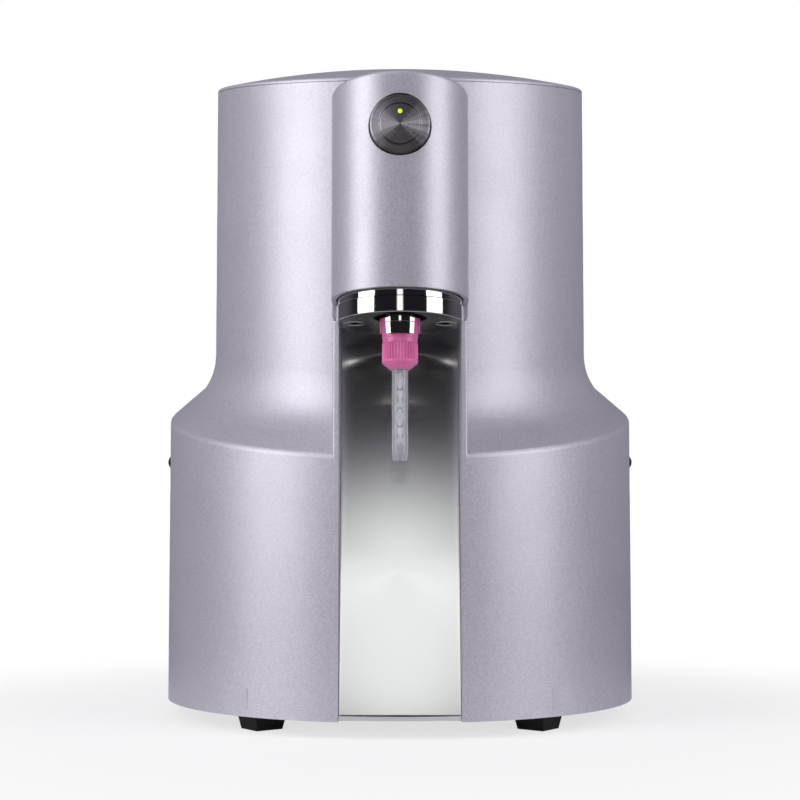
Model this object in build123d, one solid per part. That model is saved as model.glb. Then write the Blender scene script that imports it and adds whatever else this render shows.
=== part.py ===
from build123d import *
import math
import os

os.makedirs("parts", exist_ok=True)

# All sizes are in millimetres. The pieces are drawn about the upright axis of the round body,
# with z = 0 on the lower edge of the housing, and are put into the part's frame when written.
# Minus Y is the front.

# Housing
BODY_R = 145.0
NECK_R = 117.4
WALL = 3.0
REAR_Y = 130.0
HOUSING_TOP_Z = 520.0
SHOULDER_Z = 176.5
SHOULDER_LEAN = 0.27
SHOULDER_EDGE_R = 3.5
SHOULDER_SWEEP_R = 38.0
SHOULDER_ANGLE = 53.0
PARTING_Z = 386.7
PARTING_LEAN = 0.299
JOINT_GAP = 0.3
CUT_OVER = 1.0

# Front column with its leaning splash plate
COLUMN_HALF = 36.0
COLUMN_TOP_Z = 212.2
COLUMN_EDGE_R = 1.6
RECESS_HALF = 32.6
RECESS_TOP_Z = 220.6
RECESS_WALL = 2.5
PLATE_SET_BACK = 9.0
PLATE_LEAN = 0.126
PLATE_T = 1.2
PLATE_TOP_Z = 216.0
PLATE_SIDE_GAP = 0.4
HEM_H = 3.2
HEM_INSET = 0.6

# Nose over the dispensing place
NOSE_R = 35.5
NOSE_Y = -160.0
NOSE_WALL = 2.5
NOSE_TOP_Z = 327.4
NOSE_FRONT_BOTTOM_Z = 218.9
NOSE_STEP_Y = -151.0
NOSE_TOP_EDGE_R = 3.0
NOSE_RIM_HALF = 27.0
NECK_OPENING_HALF = 28.0
NECK_OPENING_TOP_Z = 300.0

# Outlet flange, bayonet socket and head plate
FLANGE_R = 32.8
FLANGE_RING_R = 32.2
FLANGE_BOTTOM_Z = 207.0
FLANGE_DISC_T = 8.4
FLANGE_EDGE = 0.5
HEAD_PLATE_T = 5.0
HEAD_PLATE_REAR_Y = -107.0
OUTLET_Y = -175.0
POCKET_R = 13.6
POCKET_DEPTH = 3.6
SOCKET_R = 12.2
SOCKET_COLLAR_R = 15.0
SOCKET_COLLAR_T = 2.5
SOCKET_BORE_R = 10.4
SOCKET_BORE_TOP_Z = 207.6
CLAW_BOTTOM_Z = 197.6
CLAW_TAPER = 0.8
CLAW_TAPER_H = 5.6
CLAW_GROOVE = 0.35
CLAW_HALF_ANGLE = 36.0
CLAW_LIP_R = 9.4
CLAW_LIP_T = 0.9
NOZZLE_R = 5.8
NOZZLE_BOTTOM_Z = 203.4
PORT_R = 1.8
PORT_X = 3.2
FLANGE_SCREW_X = 23.5
FLANGE_SCREW_R = 3.0
FLANGE_SCREW_HEAD_R = 5.4
FLANGE_SCREW_HEAD_H = 3.0
FLANGE_SCREW_END_IN = 0.5
FLANGE_KEY_R = 2.4
MANIFOLD_W = 26.0
MANIFOLD_FRONT_Y = -188.0
MANIFOLD_REAR_Y = -160.0
MANIFOLD_H = 24.0
MANIFOLD_PORT_X = 7.8

# Mixing tip
COLLAR_R = 9.1
COLLAR_TOP_Z = 206.6
COLLAR_BORE_R = 7.2
RIB_TOP_Z = 193.2
RIB_BOTTOM_Z = 184.6
RIB_COUNT = 37
RIB_DEPTH = 0.45
CONE_TOP_Z = 183.4
CONE_BOTTOM_Z = 180.6
CONE_BOTTOM_R = 5.0
LUG_R = 10.1
LUG_GAP = 0.4
LUG_HALF_ANGLE = 7.0
TUBE_R = 4.1
TUBE_BORE_R = 3.2
TUBE_TIP_R = 3.6
TUBE_TIP_Z = 135.0
TUBE_TAPER_H = 4.5
TUBE_HEAD_T = 3.0
TUBE_STEP_Z = 186.4
FIT_GAP = 0.05
MIX_PITCH = 7.7
MIX_COUNT = 6
MIX_BLADE_W = 6.0
MIX_BLADE_T = 1.1
MIX_HEAD_T = 3.0

# Start button
BUTTON_Z = 299.6
BEZEL_R = 15.2
BEZEL_T = 3.5
BEZEL_EDGE = 0.7
CAP_R = 10.2
CAP_PROUD = 0.8
CAP_T = 2.2
CAP_GAP = 0.3
CAP_EDGE = 0.6
BUTTON_TRAVEL = 1.5
STEM_R = 7.5
STEM_L = 6.5
GASKET_R = 15.7
GASKET_T = 0.8
BUTTON_BODY_R = 10.9
BUTTON_BODY_L = 32.0
BUTTON_PAD_R = 18.0
BUTTON_PAD_T = 3.0
LED_R = 1.5
LED_RISE = 6.2
LED_T = 1.4
RING_NUT_R = 14.5
RING_NUT_T = 4.0

# Lid and its long hinge
LID_EDGE_H = 2.06
LID_CROWN_R = 520.0
LID_TOP_EDGE_R = 1.4
LID_WALL = 3.0
LID_RIM = 6.0
LID_LAND = 32.0
HINGE_R = 3.5
HINGE_PIN_R = 1.5
HINGE_SIDE_GAP = 12.4
HINGE_KNUCKLES = 7
HINGE_SET_IN = 4.0
HINGE_DROP = 1.0
HINGE_LEAF_T = 1.2
HINGE_LEAF_W = 20.0
HINGE_GAP = 0.4
LID_HINGE_GAP = 0.6

# Rear panel
PANEL_SET_IN = 4.0
PANEL_T = 2.0
PANEL_BOTTOM_Z = 1.0
VENT_COUNT = 9
VENT_W = 60.0
VENT_H = 3.2
VENT_PITCH = 8.0
VENT_X = -62.0
VENT_Z = 40.0
SCREW_R = 1.5
SCREW_HEAD_R = 2.9
SCREW_HEAD_H = 1.8
SCREW_L = 9.0
TAB_W = 14.0
TAB_REACH = 12.0
TAB_DEPTH = 10.0
LOWER_TAB_Z = (24.0, 150.0)
UPPER_TAB_Z = (262.0, 372.0)

# Mains inlet, switch and fuse
MAINS_X = 70.0
INLET_Z = 46.0
INLET_FLANGE = (50.0, 30.0, 2.2)
INLET_BODY = (30.0, 23.0, 24.0)
INLET_CAVITY = (24.5, 17.0, 17.0)
INLET_CORNER = 4.0
CONTACT = (2.0, 4.0, 13.0)
CONTACT_X = 7.0
SWITCH_Z = 92.0
SWITCH_FLANGE = (21.0, 30.0, 2.0)
SWITCH_BODY = (17.4, 25.6, 20.0)
SWITCH_WALL = 1.0
ROCKER_R = 11.0
ROCKER_PIVOT_IN = 12.5
ROCKER_BACK = 3.0
ROCKER_DISH = 1.5
ROCKER_TILT = 7.0
ROCKER_PIN_R = 1.4
FUSE_X = 24.0
FUSE_FLANGE = (24.0, 16.0, 1.2)
FUSE_BODY = (17.0, 11.0, 26.0)
FUSE_BORE = (14.0, 8.0, 22.0)
DRAWER_GAP = 0.25
DRAWER_FACE = (18.0, 10.0, 1.2)

# Base plate, feet and side brackets
BASE_Z = 1.0
BASE_T = 2.5
BASE_GAP = 0.4
FOOT_H = 9.0
FOOT_TOP = 20.5
FOOT_BOTTOM = 16.5
FRONT_FOOT_SET_IN = 20.0
FRONT_FOOT_ANGLE = 38.0
REAR_FOOT_SET_IN = 41.0
REAR_FOOT_Y = 92.0
FOOT_SCREW_R = 2.5
FOOT_SCREW_HEAD_R = 4.5
FOOT_SCREW_HEAD_H = 2.8
BOSS_W = 16.0
BOSS_H = 12.0
SIDE_SCREW_Y = -5.0
SIDE_SCREW_Z = 146.7
SIDE_SCREW_R = 2.5
SIDE_HEAD_R = 4.7
SIDE_HEAD_H = 2.8
SIDE_SCREW_L = 9.0
SIDE_KEY_R = 1.75
SIDE_KEY_DEPTH = 1.7
BRACKET_T = 2.0
BRACKET_W = 24.0
BRACKET_TOP_Z = 158.0
BRACKET_FOOT = 22.0

# Supply tanks on their deck
TANK_Y = 45.0
TANK_GAP = 8.0
TANK_SIDE_GAP = 10.4
TANK_WALL = 3.0
TANK_FLOOR_T = 4.0
TANK_TOP_Z = 362.0
TANK_SPIGOT_R = 8.0
TANK_SPIGOT_L = 10.0
TANK_BORE_R = 4.0
TANK_LID_T = 5.0
TANK_LID_SKIRT = 9.0
TANK_LID_GRIP_R = 18.0
TANK_LID_GRIP_H = 7.0
TANK_LID_WALL = 2.0
TANK_SEAL_T = 2.0
DECK_Z = 212.0
DECK_T = 3.0
DECK_GAP = 6.4
DECK_FRONT_Y = -58.0
DECK_REAR_Y = 112.0
POST_R = 5.0
POST_SET_IN = 9.0
POST_FRONT_Y = 0.0
POST_REAR_Y = 66.0

# Metering pumps and their drive
PUMP_Y = -30.0
SHAFT_Z = 100.0
PUMP_MODULE = 1.5
PUMP_TEETH = 12
PUMP_GEAR_W = 12.0
PUMP_SIDE_GAP = 0.1
PUMP_TIP_GAP = 0.1
PUMP_BACK_T = 4.0
PUMP_COVER_T = 6.0
PUMP_DEPTH = 40.0
PUMP_BELOW = 16.0
PUMP_ABOVE = 16.0
PUMP_PORT_R = 3.0
IDLER_PIN_R = 3.0
SHAFT_R = 4.0
RUN_GAP = 0.05
PUMP_SCREW_R = 2.0
PUMP_SCREW_INSET = 4.0
PUMP_SCREW_START = 2.0
PUMP_SCREW_HEAD_R = 3.4
PUMP_SCREW_HEAD_H = 3.0
DRIVE_MODULE = 1.0
WHEEL_TEETH = 48
PINION_TEETH = 16
WHEEL_W = 8.0
WHEEL_HUB_R = 9.0
WHEEL_HUB_W = 16.0
PINION_W = 11.0
PINION_SHAFT_R = 2.5
PINION_SHAFT_IN = 12.0
BACKLASH = 0.12
PRESSURE_ANGLE = 20.0
FRAME_T = 2.5
FRAME_FRONT_Y = -54.0
FRAME_REAR_Y = -6.0
FRAME_TOP_Z = 132.0
FRAME_HOLE_R = 7.0
GEARBOX_R = 14.0
GEARBOX_L = 30.0
MOTOR_R = 12.5
MOTOR_L = 34.0
MOTOR_CAP_R = 6.0
MOTOR_CAP_L = 3.0

# Hoses and barbed fittings
HOSE_R = 5.5
HOSE_BORE_R = 4.1
BARB_R = 4.0
BARB_L = 10.0
NUT_R = 8.0
NUT_L = 8.0
FITTING_BORE_R = 2.4
BEND_SHARE = 0.45

# Power supply and control board
SUPPLY_SIZE = (78.0, 66.0, 38.0)
SUPPLY_X = -52.0
SUPPLY_Y = 62.0
SUPPLY_LIP = 1.5
BOARD_SIZE = (78.0, 58.0, 1.6)
BOARD_X = 52.0
BOARD_Y = 54.0
BOARD_PARTS = ((-18, 8, 14, 14, 2.5), (10, 14, 10, 8, 2), (24, -12, 16, 12, 9), (-22, -16, 18, 8, 8),
               (4, -18, 12, 8, 8))
BOARD_CANS = 3
CAN_FIRST_X = 12.0
CAN_PITCH = 9.0
CAN_R = 3.5
CAN_H = 11.0
STANDOFF_R = 3.0
STANDOFF_L = 9.0
STANDOFF_INSET = 5.0

# Places worked out from the sizes above
PANEL_Y = REAR_Y - PANEL_SET_IN
PLATE_FOOT_Y = PLATE_SET_BACK - BODY_R
BUTTON_SEAT_Y = NOSE_Y - math.sqrt(NOSE_R ** 2 - GASKET_R ** 2)
BEZEL_BACK_Y = BUTTON_SEAT_Y - GASKET_T
BEZEL_FRONT_Y = BEZEL_BACK_Y - BEZEL_T
CAP_FRONT_Y = BEZEL_FRONT_Y - CAP_PROUD
AXIS_Y = -(CAP_FRONT_Y + REAR_Y) / 2
BASE_TOP_Z = BASE_Z + BASE_T
FLANGE_TOP_Z = RECESS_TOP_Z
HEAD_PLATE_TOP_Z = FLANGE_TOP_Z + HEAD_PLATE_T
MANIFOLD_PORT_Z = HEAD_PLATE_TOP_Z + MANIFOLD_H / 2
POCKET_TOP_Z = FLANGE_BOTTOM_Z + POCKET_DEPTH
LUG_BOTTOM_Z = CLAW_BOTTOM_Z + CLAW_LIP_T + LUG_GAP
LID_CROWN_H = LID_CROWN_R - math.sqrt(LID_CROWN_R ** 2 - NECK_R ** 2)
HINGE_HALF = NECK_R - HINGE_SIDE_GAP
HINGE_Y = REAR_Y - HINGE_SET_IN
HINGE_Z = PARTING_Z + PARTING_LEAN * HINGE_Y - HINGE_DROP
LID_REAR_Y = HINGE_Y - HINGE_R - LID_HINGE_GAP
FOOT_R = BODY_R - FRONT_FOOT_SET_IN
REAR_FOOT_X = BODY_R - REAR_FOOT_SET_IN
DECK_R = NECK_R - WALL - DECK_GAP
POST_X = DECK_R - POST_SET_IN
TANK_R = (NECK_R - WALL - TANK_SIDE_GAP - TANK_GAP / 2) / 2
TANK_X = TANK_R + TANK_GAP / 2
TANK_FLOOR_Z = DECK_Z + DECK_T
TANK_OUTLET_Z = TANK_FLOOR_Z - TANK_SPIGOT_L
PUMP_CENTRES = PUMP_MODULE * PUMP_TEETH
IDLER_Z = SHAFT_Z + PUMP_CENTRES
PUMP_PORT_Z = SHAFT_Z + PUMP_CENTRES / 2
CHAMBER_W = PUMP_GEAR_W + 2 * PUMP_SIDE_GAP
CHAMBER_X = TANK_X - CHAMBER_W / 2
PUMP_BACK_X = CHAMBER_X - PUMP_BACK_T
PUMP_COVER_X = CHAMBER_X + CHAMBER_W
PUMP_BOTTOM_Z = SHAFT_Z - PUMP_BELOW
PUMP_TOP_Z = IDLER_Z + PUMP_ABOVE
DRIVE_CENTRES = DRIVE_MODULE * (WHEEL_TEETH + PINION_TEETH) / 2
PINION_Z = SHAFT_Z - DRIVE_CENTRES

SIDES = {"a": -1, "b": 1}
made = {}


def block(x, y, z):
    """Box between two limits along each axis."""
    size = [high - low for low, high in (x, y, z)]
    middle = [(low + high) / 2 for low, high in (x, y, z)]
    return Pos(*middle) * Box(*size)


def rod(radius, start, end):
    """Cylinder from one point to another."""
    start, end = Vector(*start), Vector(*end)
    plane = Plane(origin=start, z_dir=end - start)
    return plane * Cylinder(radius, (end - start).length, align=(Align.CENTER, Align.CENTER, Align.MIN))


def cone(start_r, end_r, start, end):
    """Cone frustum from one point to another."""
    start, end = Vector(*start), Vector(*end)
    plane = Plane(origin=start, z_dir=end - start)
    length = (end - start).length
    return plane * Cone(start_r, end_r, length, align=(Align.CENTER, Align.CENTER, Align.MIN))


def hexagon(radius, start, end):
    """Hexagonal prism from one point to another."""
    start, end = Vector(*start), Vector(*end)
    plane = Plane(origin=start, z_dir=end - start)
    return extrude(plane * RegularPolygon(radius, 6), (end - start).length)


def lean(solid, slope):
    """Slide every point up by its own y times a slope, which leaves upright walls upright."""
    matrix = Matrix([[1, 0, 0, 0], [0, 1, 0, 0], [0, slope, 1, 0], [0, 0, 0, 1]])
    return solid.transform_geometry(matrix)


def round_plan(radius, rear_y):
    """Outline seen from above: half a circle in front, straight sides behind."""
    arc = ThreePointArc((-radius, 0), (0, -radius), (radius, 0))
    sides = Polyline((radius, 0), (radius, rear_y), (-radius, rear_y), (-radius, 0))
    return make_face(Curve() + [arc, sides])


def round_front(half_profile, rear_y):
    """Solid whose front half turns a profile about the upright axis and whose rear half is straight."""
    mirrored = mirror(half_profile, Plane.YZ)
    front = revolve(mirrored, Axis.Z, 180)
    rear = extrude(half_profile + mirrored, rear_y, dir=(0, 1, 0))
    return front + rear


def across(side, low, high):
    """Limits along X on one side of the middle."""
    return sorted((side * low, side * high))


def both_sides(make):
    """The same piece on the left and on the right."""
    return [make(side) for side in SIDES.values()]


def keep(name, *shapes):
    """Name the solids of one piece, or of one group of like pieces."""
    solids = [solid for shape in shapes for solid in shape.solids()]
    made[name] = solids[0] if len(solids) == 1 else Compound(solids)


# Housing: an upright wall, a leaning shoulder of two arcs and a straight run, and a neck

def housing_solid(inset):
    """Closed housing form, drawn in by a wall thickness, with its shoulder leaning to the front."""
    tilt = math.radians(SHOULDER_ANGLE)
    out = Vector(math.cos(tilt), math.sin(tilt))
    half_out = Vector(math.cos(tilt / 2), math.sin(tilt / 2))
    edge_middle = Vector(BODY_R - SHOULDER_EDGE_R, SHOULDER_Z)
    bend = (SHOULDER_EDGE_R + SHOULDER_SWEEP_R) * (1 - math.cos(tilt))
    run = (BODY_R - NECK_R - bend) / math.sin(tilt)
    sweep_middle_z = SHOULDER_Z + (SHOULDER_EDGE_R + SHOULDER_SWEEP_R) * math.sin(tilt) + run * math.cos(tilt)
    sweep_middle = Vector(NECK_R + SHOULDER_SWEEP_R, sweep_middle_z)
    edge_r = SHOULDER_EDGE_R - inset
    sweep_r = SHOULDER_SWEEP_R + inset
    low = SHOULDER_LEAN * -REAR_Y * 2
    wall_foot = (BODY_R - inset, low)
    edge_start = edge_middle + Vector(edge_r, 0)
    edge_end = edge_middle + out * edge_r
    sweep_start = sweep_middle - out * sweep_r
    sweep_end = sweep_middle - Vector(sweep_r, 0)
    profile = make_face(Curve() + [
        Line((0, low), wall_foot),
        Line(wall_foot, edge_start),
        ThreePointArc(edge_start, edge_middle + half_out * edge_r, edge_end),
        Line(edge_end, sweep_start),
        ThreePointArc(sweep_start, sweep_middle - half_out * sweep_r, sweep_end),
        Line(sweep_end, (NECK_R - inset, HOUSING_TOP_Z)),
        Line((NECK_R - inset, HOUSING_TOP_Z), (0, HOUSING_TOP_Z)),
        Line((0, HOUSING_TOP_Z), (0, low)),
    ])
    return lean(round_front(Plane.XZ * profile, REAR_Y * 1.2), SHOULDER_LEAN)


def leaning_slab(offset_front, offset_back, half_width, low_z, high_z):
    """Slab parallel to the splash plate, between two offsets behind the plate's front face."""
    def at(z, offset):
        return (PLATE_FOOT_Y + PLATE_LEAN * z + offset, z)
    outline = make_face(Polyline(at(low_z, offset_front), at(low_z, offset_back), at(high_z, offset_back),
                                 at(high_z, offset_front), at(low_z, offset_front)))
    return extrude(Plane.YZ * outline, half_width, both=True)


def foot_places():
    """Centre and turn of each foot."""
    for side in SIDES.values():
        angle = math.radians(FRONT_FOOT_ANGLE)
        yield side * FOOT_R * math.sin(angle), -FOOT_R * math.cos(angle), side * -FRONT_FOOT_ANGLE
        yield side * REAR_FOOT_X, REAR_FOOT_Y, 0


def foot_boss(x, y):
    """Block that ties a foot's screw to the housing wall."""
    height = (BASE_TOP_Z, BASE_TOP_Z + BOSS_H)
    if y > 0:
        width = across(math.copysign(1, x), abs(x) - BOSS_W / 2, BODY_R)
        return block(width, (y - BOSS_W / 2, y + BOSS_W / 2), height)
    radial = block((FOOT_R - BOSS_W / 2, BODY_R), (-BOSS_W / 2, BOSS_W / 2), height)
    return Rot(0, 0, math.degrees(math.atan2(y, x))) * radial


def panel_screw_places():
    """Places of the rear panel's screws, each with the half width of the housing there."""
    for side in SIDES.values():
        for z in LOWER_TAB_Z:
            yield side, z, BODY_R - WALL
        for z in UPPER_TAB_Z:
            yield side, z, NECK_R - WALL


outer = housing_solid(0)
inner = housing_solid(WALL)
recess_depth = 4 * COLUMN_HALF
column_plan = (Circle(BODY_R) & Pos(0, -BODY_R + COLUMN_HALF) * Rectangle(2 * COLUMN_HALF, 2 * COLUMN_HALF))
column_corners = column_plan.vertices().sort_by(Axis.Y)[:2]
column = extrude(fillet(column_corners, COLUMN_EDGE_R), COLUMN_TOP_Z)
under_lid = lean(block((-BODY_R, BODY_R), (-BODY_R, REAR_Y), (-HOUSING_TOP_Z, PARTING_Z)), PARTING_LEAN)
housing_space = block((-BODY_R, BODY_R), (-BODY_R, REAR_Y), (0, HOUSING_TOP_Z)) & under_lid
channel = leaning_slab(-recess_depth, PLATE_T + RECESS_WALL, COLUMN_HALF, -WALL, RECESS_TOP_Z)
recess = leaning_slab(-recess_depth, PLATE_T, RECESS_HALF, -WALL, RECESS_TOP_Z)
shell = ((outer + column) & housing_space) - (inner - channel) - recess
neck_opening = block((-NECK_OPENING_HALF, NECK_OPENING_HALF), (-NECK_R - WALL, -NECK_R / 2),
                     (RECESS_TOP_Z, NECK_OPENING_TOP_Z))
shell -= neck_opening
for x, y, turn in foot_places():
    shell += foot_boss(x, y)
    shell -= rod(FOOT_SCREW_R + FIT_GAP, (x, y, 0), (x, y, BASE_TOP_Z + BOSS_H - WALL))
for side, z, wall_x in panel_screw_places():
    screw_x = side * (wall_x - TAB_REACH / 2)
    tab = block(across(side, wall_x - TAB_REACH, wall_x + WALL / 2),
                (PANEL_Y - PANEL_T - TAB_DEPTH, PANEL_Y - PANEL_T), (z - TAB_W / 2, z + TAB_W / 2))
    shell += tab
    shell -= rod(SCREW_R + FIT_GAP, (screw_x, PANEL_Y, z), (screw_x, PANEL_Y - SCREW_L - PANEL_T, z))
for side in SIDES.values():
    shell -= rod(SIDE_SCREW_R + FIT_GAP, (0, SIDE_SCREW_Y, SIDE_SCREW_Z),
                 (side * (BODY_R + WALL), SIDE_SCREW_Y, SIDE_SCREW_Z))
keep("front_shell", shell)

# Splash plate with a hem folded forward at its foot

plate_half = RECESS_HALF - PLATE_SIDE_GAP
plate = leaning_slab(0, PLATE_T, plate_half, BASE_Z, PLATE_TOP_Z)
hem_front = Cylinder(BODY_R - HEM_INSET, 2 * HEM_H, align=(Align.CENTER, Align.CENTER, Align.CENTER))
hem = block((-plate_half, plate_half), (-BODY_R, PLATE_FOOT_Y + PLATE_T), (BASE_Z, HEM_H)) & hem_front
keep("splash_plate", plate + hem)

# Nose cover: half a cylinder in front with straight sides, open below and behind


def nose_prism(inset, low_z, high_z):
    """Nose outline, drawn in by a wall, between two heights."""
    radius = NOSE_R - inset
    plan = Pos(0, NOSE_Y) * round_plan(radius, -NOSE_Y - NECK_R / 2)
    return Pos(0, 0, low_z) * extrude(plan, high_z - low_z)


nose = nose_prism(0, COLUMN_TOP_Z + JOINT_GAP, NOSE_TOP_Z)
nose = fillet(nose.edges().filter_by_position(Axis.Z, NOSE_TOP_Z - 0.1, NOSE_TOP_Z + 0.1)
              .filter_by(lambda edge: edge.center().Y < -NECK_R / 2 - 1), NOSE_TOP_EDGE_R)
nose_front_low = block((-NOSE_R, NOSE_R), (NOSE_Y - NOSE_R, NOSE_STEP_Y), (COLUMN_TOP_Z, NOSE_FRONT_BOTTOM_Z))
nose_inside = nose_prism(NOSE_WALL, 0, NOSE_TOP_Z - NOSE_WALL)
neck_round = Cylinder(NECK_R + JOINT_GAP, 2 * HOUSING_TOP_Z)
rim_zone = Cylinder(NECK_R + JOINT_GAP + NOSE_WALL, 2 * HOUSING_TOP_Z)
rim_inside = block((-NOSE_RIM_HALF, NOSE_RIM_HALF), (NOSE_Y, 0), (0, NOSE_TOP_Z - 2 * NOSE_WALL))
nose_hollow = (nose_inside - rim_zone) + (nose_inside & rim_inside)
head_space = nose_prism(NOSE_WALL, 0, HEAD_PLATE_TOP_Z + JOINT_GAP)
button_pad = rod(BUTTON_PAD_R, (0, BUTTON_SEAT_Y - NOSE_WALL, BUTTON_Z),
                 (0, BUTTON_SEAT_Y + BUTTON_PAD_T, BUTTON_Z))
nose = nose - nose_front_low - nose_hollow - head_space - neck_round
nose = nose + (button_pad & nose_prism(NOSE_WALL / 2, 0, NOSE_TOP_Z - NOSE_WALL / 2))
nose -= rod(GASKET_R, (0, BUTTON_SEAT_Y, BUTTON_Z), (0, BUTTON_SEAT_Y - NOSE_R, BUTTON_Z))
nose -= rod(BUTTON_BODY_R + JOINT_GAP, (0, NOSE_Y - NOSE_R, BUTTON_Z), (0, NOSE_Y, BUTTON_Z))
keep("nose_cover", nose)

# Head plate that carries the outlet, reaching back through the neck on to the recess wall

head_wide = nose_prism(NOSE_WALL + JOINT_GAP, FLANGE_TOP_Z, HEAD_PLATE_TOP_Z) - rim_zone
head_tongue = block((-NOSE_RIM_HALF + JOINT_GAP, NOSE_RIM_HALF - JOINT_GAP),
                    (NOSE_Y, HEAD_PLATE_REAR_Y), (FLANGE_TOP_Z, HEAD_PLATE_TOP_Z))
head_plate = head_wide + head_tongue
head_plate -= rod(NOZZLE_R + JOINT_GAP, (0, OUTLET_Y, FLANGE_TOP_Z), (0, OUTLET_Y, HEAD_PLATE_TOP_Z))
for side in SIDES.values():
    screw_x = side * FLANGE_SCREW_X
    head_plate -= rod(FLANGE_SCREW_R + FIT_GAP, (screw_x, NOSE_Y, FLANGE_TOP_Z - CUT_OVER),
                      (screw_x, NOSE_Y, HEAD_PLATE_TOP_Z + CUT_OVER))
keep("head_plate", head_plate)

# Outlet flange: a polished disc under a slightly smaller ring, with a pocket round the outlet

disc_top_z = FLANGE_BOTTOM_Z + FLANGE_DISC_T
disc = Pos(0, NOSE_Y, FLANGE_BOTTOM_Z) * Cylinder(FLANGE_R, FLANGE_DISC_T,
                                                  align=(Align.CENTER, Align.CENTER, Align.MIN))
disc = chamfer(disc.edges().filter_by(GeomType.CIRCLE), FLANGE_EDGE)
ring = rod(FLANGE_RING_R, (0, NOSE_Y, disc_top_z), (0, NOSE_Y, FLANGE_TOP_Z))
flange = disc + ring
flange -= rod(POCKET_R, (0, OUTLET_Y, FLANGE_BOTTOM_Z - CUT_OVER), (0, OUTLET_Y, POCKET_TOP_Z))
flange -= rod(SOCKET_R + FIT_GAP, (0, OUTLET_Y, POCKET_TOP_Z), (0, OUTLET_Y, FLANGE_TOP_Z))
flange -= rod(SOCKET_COLLAR_R + FIT_GAP, (0, OUTLET_Y, FLANGE_TOP_Z - SOCKET_COLLAR_T - FIT_GAP),
              (0, OUTLET_Y, FLANGE_TOP_Z))


def flange_screw(side, gap):
    """Countersunk screw through the flange into the head plate, grown all round by a gap."""
    x = side * FLANGE_SCREW_X
    low = (x, NOSE_Y, FLANGE_BOTTOM_Z - gap)
    neck = (x, NOSE_Y, FLANGE_BOTTOM_Z + FLANGE_SCREW_HEAD_H)
    end = (x, NOSE_Y, HEAD_PLATE_TOP_Z - FLANGE_SCREW_END_IN)
    head = cone(FLANGE_SCREW_HEAD_R + gap, FLANGE_SCREW_R + gap, low, neck)
    return head + rod(FLANGE_SCREW_R + gap, neck, end)


def flange_screw_with_key(side):
    """The screw itself, with its hexagonal key hole."""
    x = side * FLANGE_SCREW_X
    key_start = (x, NOSE_Y, FLANGE_BOTTOM_Z - CUT_OVER)
    key_end = (x, NOSE_Y, FLANGE_BOTTOM_Z + FLANGE_SCREW_HEAD_H)
    return flange_screw(side, 0) - hexagon(FLANGE_KEY_R, key_start, key_end)


for side in SIDES.values():
    flange -= flange_screw(side, FIT_GAP)
keep("outlet_flange", flange)
keep("flange_screws", *both_sides(flange_screw_with_key))

# Bayonet socket: a collared barrel in the flange with a front and a rear claw below it

barrel = rod(SOCKET_COLLAR_R, (0, OUTLET_Y, FLANGE_TOP_Z - SOCKET_COLLAR_T), (0, OUTLET_Y, FLANGE_TOP_Z))
barrel += rod(SOCKET_R, (0, OUTLET_Y, POCKET_TOP_Z), (0, OUTLET_Y, FLANGE_TOP_Z))
groove_z = CLAW_BOTTOM_Z + CLAW_TAPER_H
claw_tube = cone(SOCKET_R - CLAW_TAPER, SOCKET_R, (0, OUTLET_Y, CLAW_BOTTOM_Z), (0, OUTLET_Y, groove_z))
claw_tube += rod(SOCKET_R, (0, OUTLET_Y, groove_z), (0, OUTLET_Y, POCKET_TOP_Z))
groove_ring = Pos(0, OUTLET_Y, groove_z) * Torus(SOCKET_R, CLAW_GROOVE)
claw_reach = 3 * SOCKET_R
claw_side = claw_reach * math.tan(math.radians(CLAW_HALF_ANGLE))
claw_plan = make_face(Polyline((0, 0), (claw_side, claw_reach), (-claw_side, claw_reach), (0, 0)))
claw_plan += make_face(Polyline((0, 0), (claw_side, -claw_reach), (-claw_side, -claw_reach), (0, 0)))
claw_zone = Pos(0, OUTLET_Y, CLAW_BOTTOM_Z) * extrude(claw_plan, POCKET_TOP_Z - CLAW_BOTTOM_Z)
socket = barrel + ((claw_tube - groove_ring) & claw_zone)
lip_top_z = CLAW_BOTTOM_Z + CLAW_LIP_T
socket -= rod(SOCKET_BORE_R, (0, OUTLET_Y, lip_top_z), (0, OUTLET_Y, SOCKET_BORE_TOP_Z))
socket -= rod(CLAW_LIP_R, (0, OUTLET_Y, CLAW_BOTTOM_Z - CUT_OVER), (0, OUTLET_Y, lip_top_z))
socket -= rod(NOZZLE_R + JOINT_GAP, (0, OUTLET_Y, SOCKET_BORE_TOP_Z), (0, OUTLET_Y, FLANGE_TOP_Z))
keep("bayonet_socket", socket)

# Outlet block on the head plate, with its twin nozzle down through the socket

outlet_block = block((-MANIFOLD_W / 2, MANIFOLD_W / 2), (MANIFOLD_FRONT_Y, MANIFOLD_REAR_Y),
                     (HEAD_PLATE_TOP_Z, HEAD_PLATE_TOP_Z + MANIFOLD_H))
outlet_block += rod(NOZZLE_R, (0, OUTLET_Y, NOZZLE_BOTTOM_Z), (0, OUTLET_Y, HEAD_PLATE_TOP_Z))
for side in SIDES.values():
    outlet_block -= rod(PORT_R, (side * PORT_X, OUTLET_Y, NOZZLE_BOTTOM_Z),
                        (side * PORT_X, OUTLET_Y, MANIFOLD_PORT_Z))
    outlet_block -= rod(PORT_R, (side * PORT_X, OUTLET_Y, MANIFOLD_PORT_Z),
                        (side * MANIFOLD_PORT_X, MANIFOLD_REAR_Y, MANIFOLD_PORT_Z))
keep("outlet_block", outlet_block)

# Mixing tip: ribbed collar with two locking lugs and two stop lugs, clear tube, helical element

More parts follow.
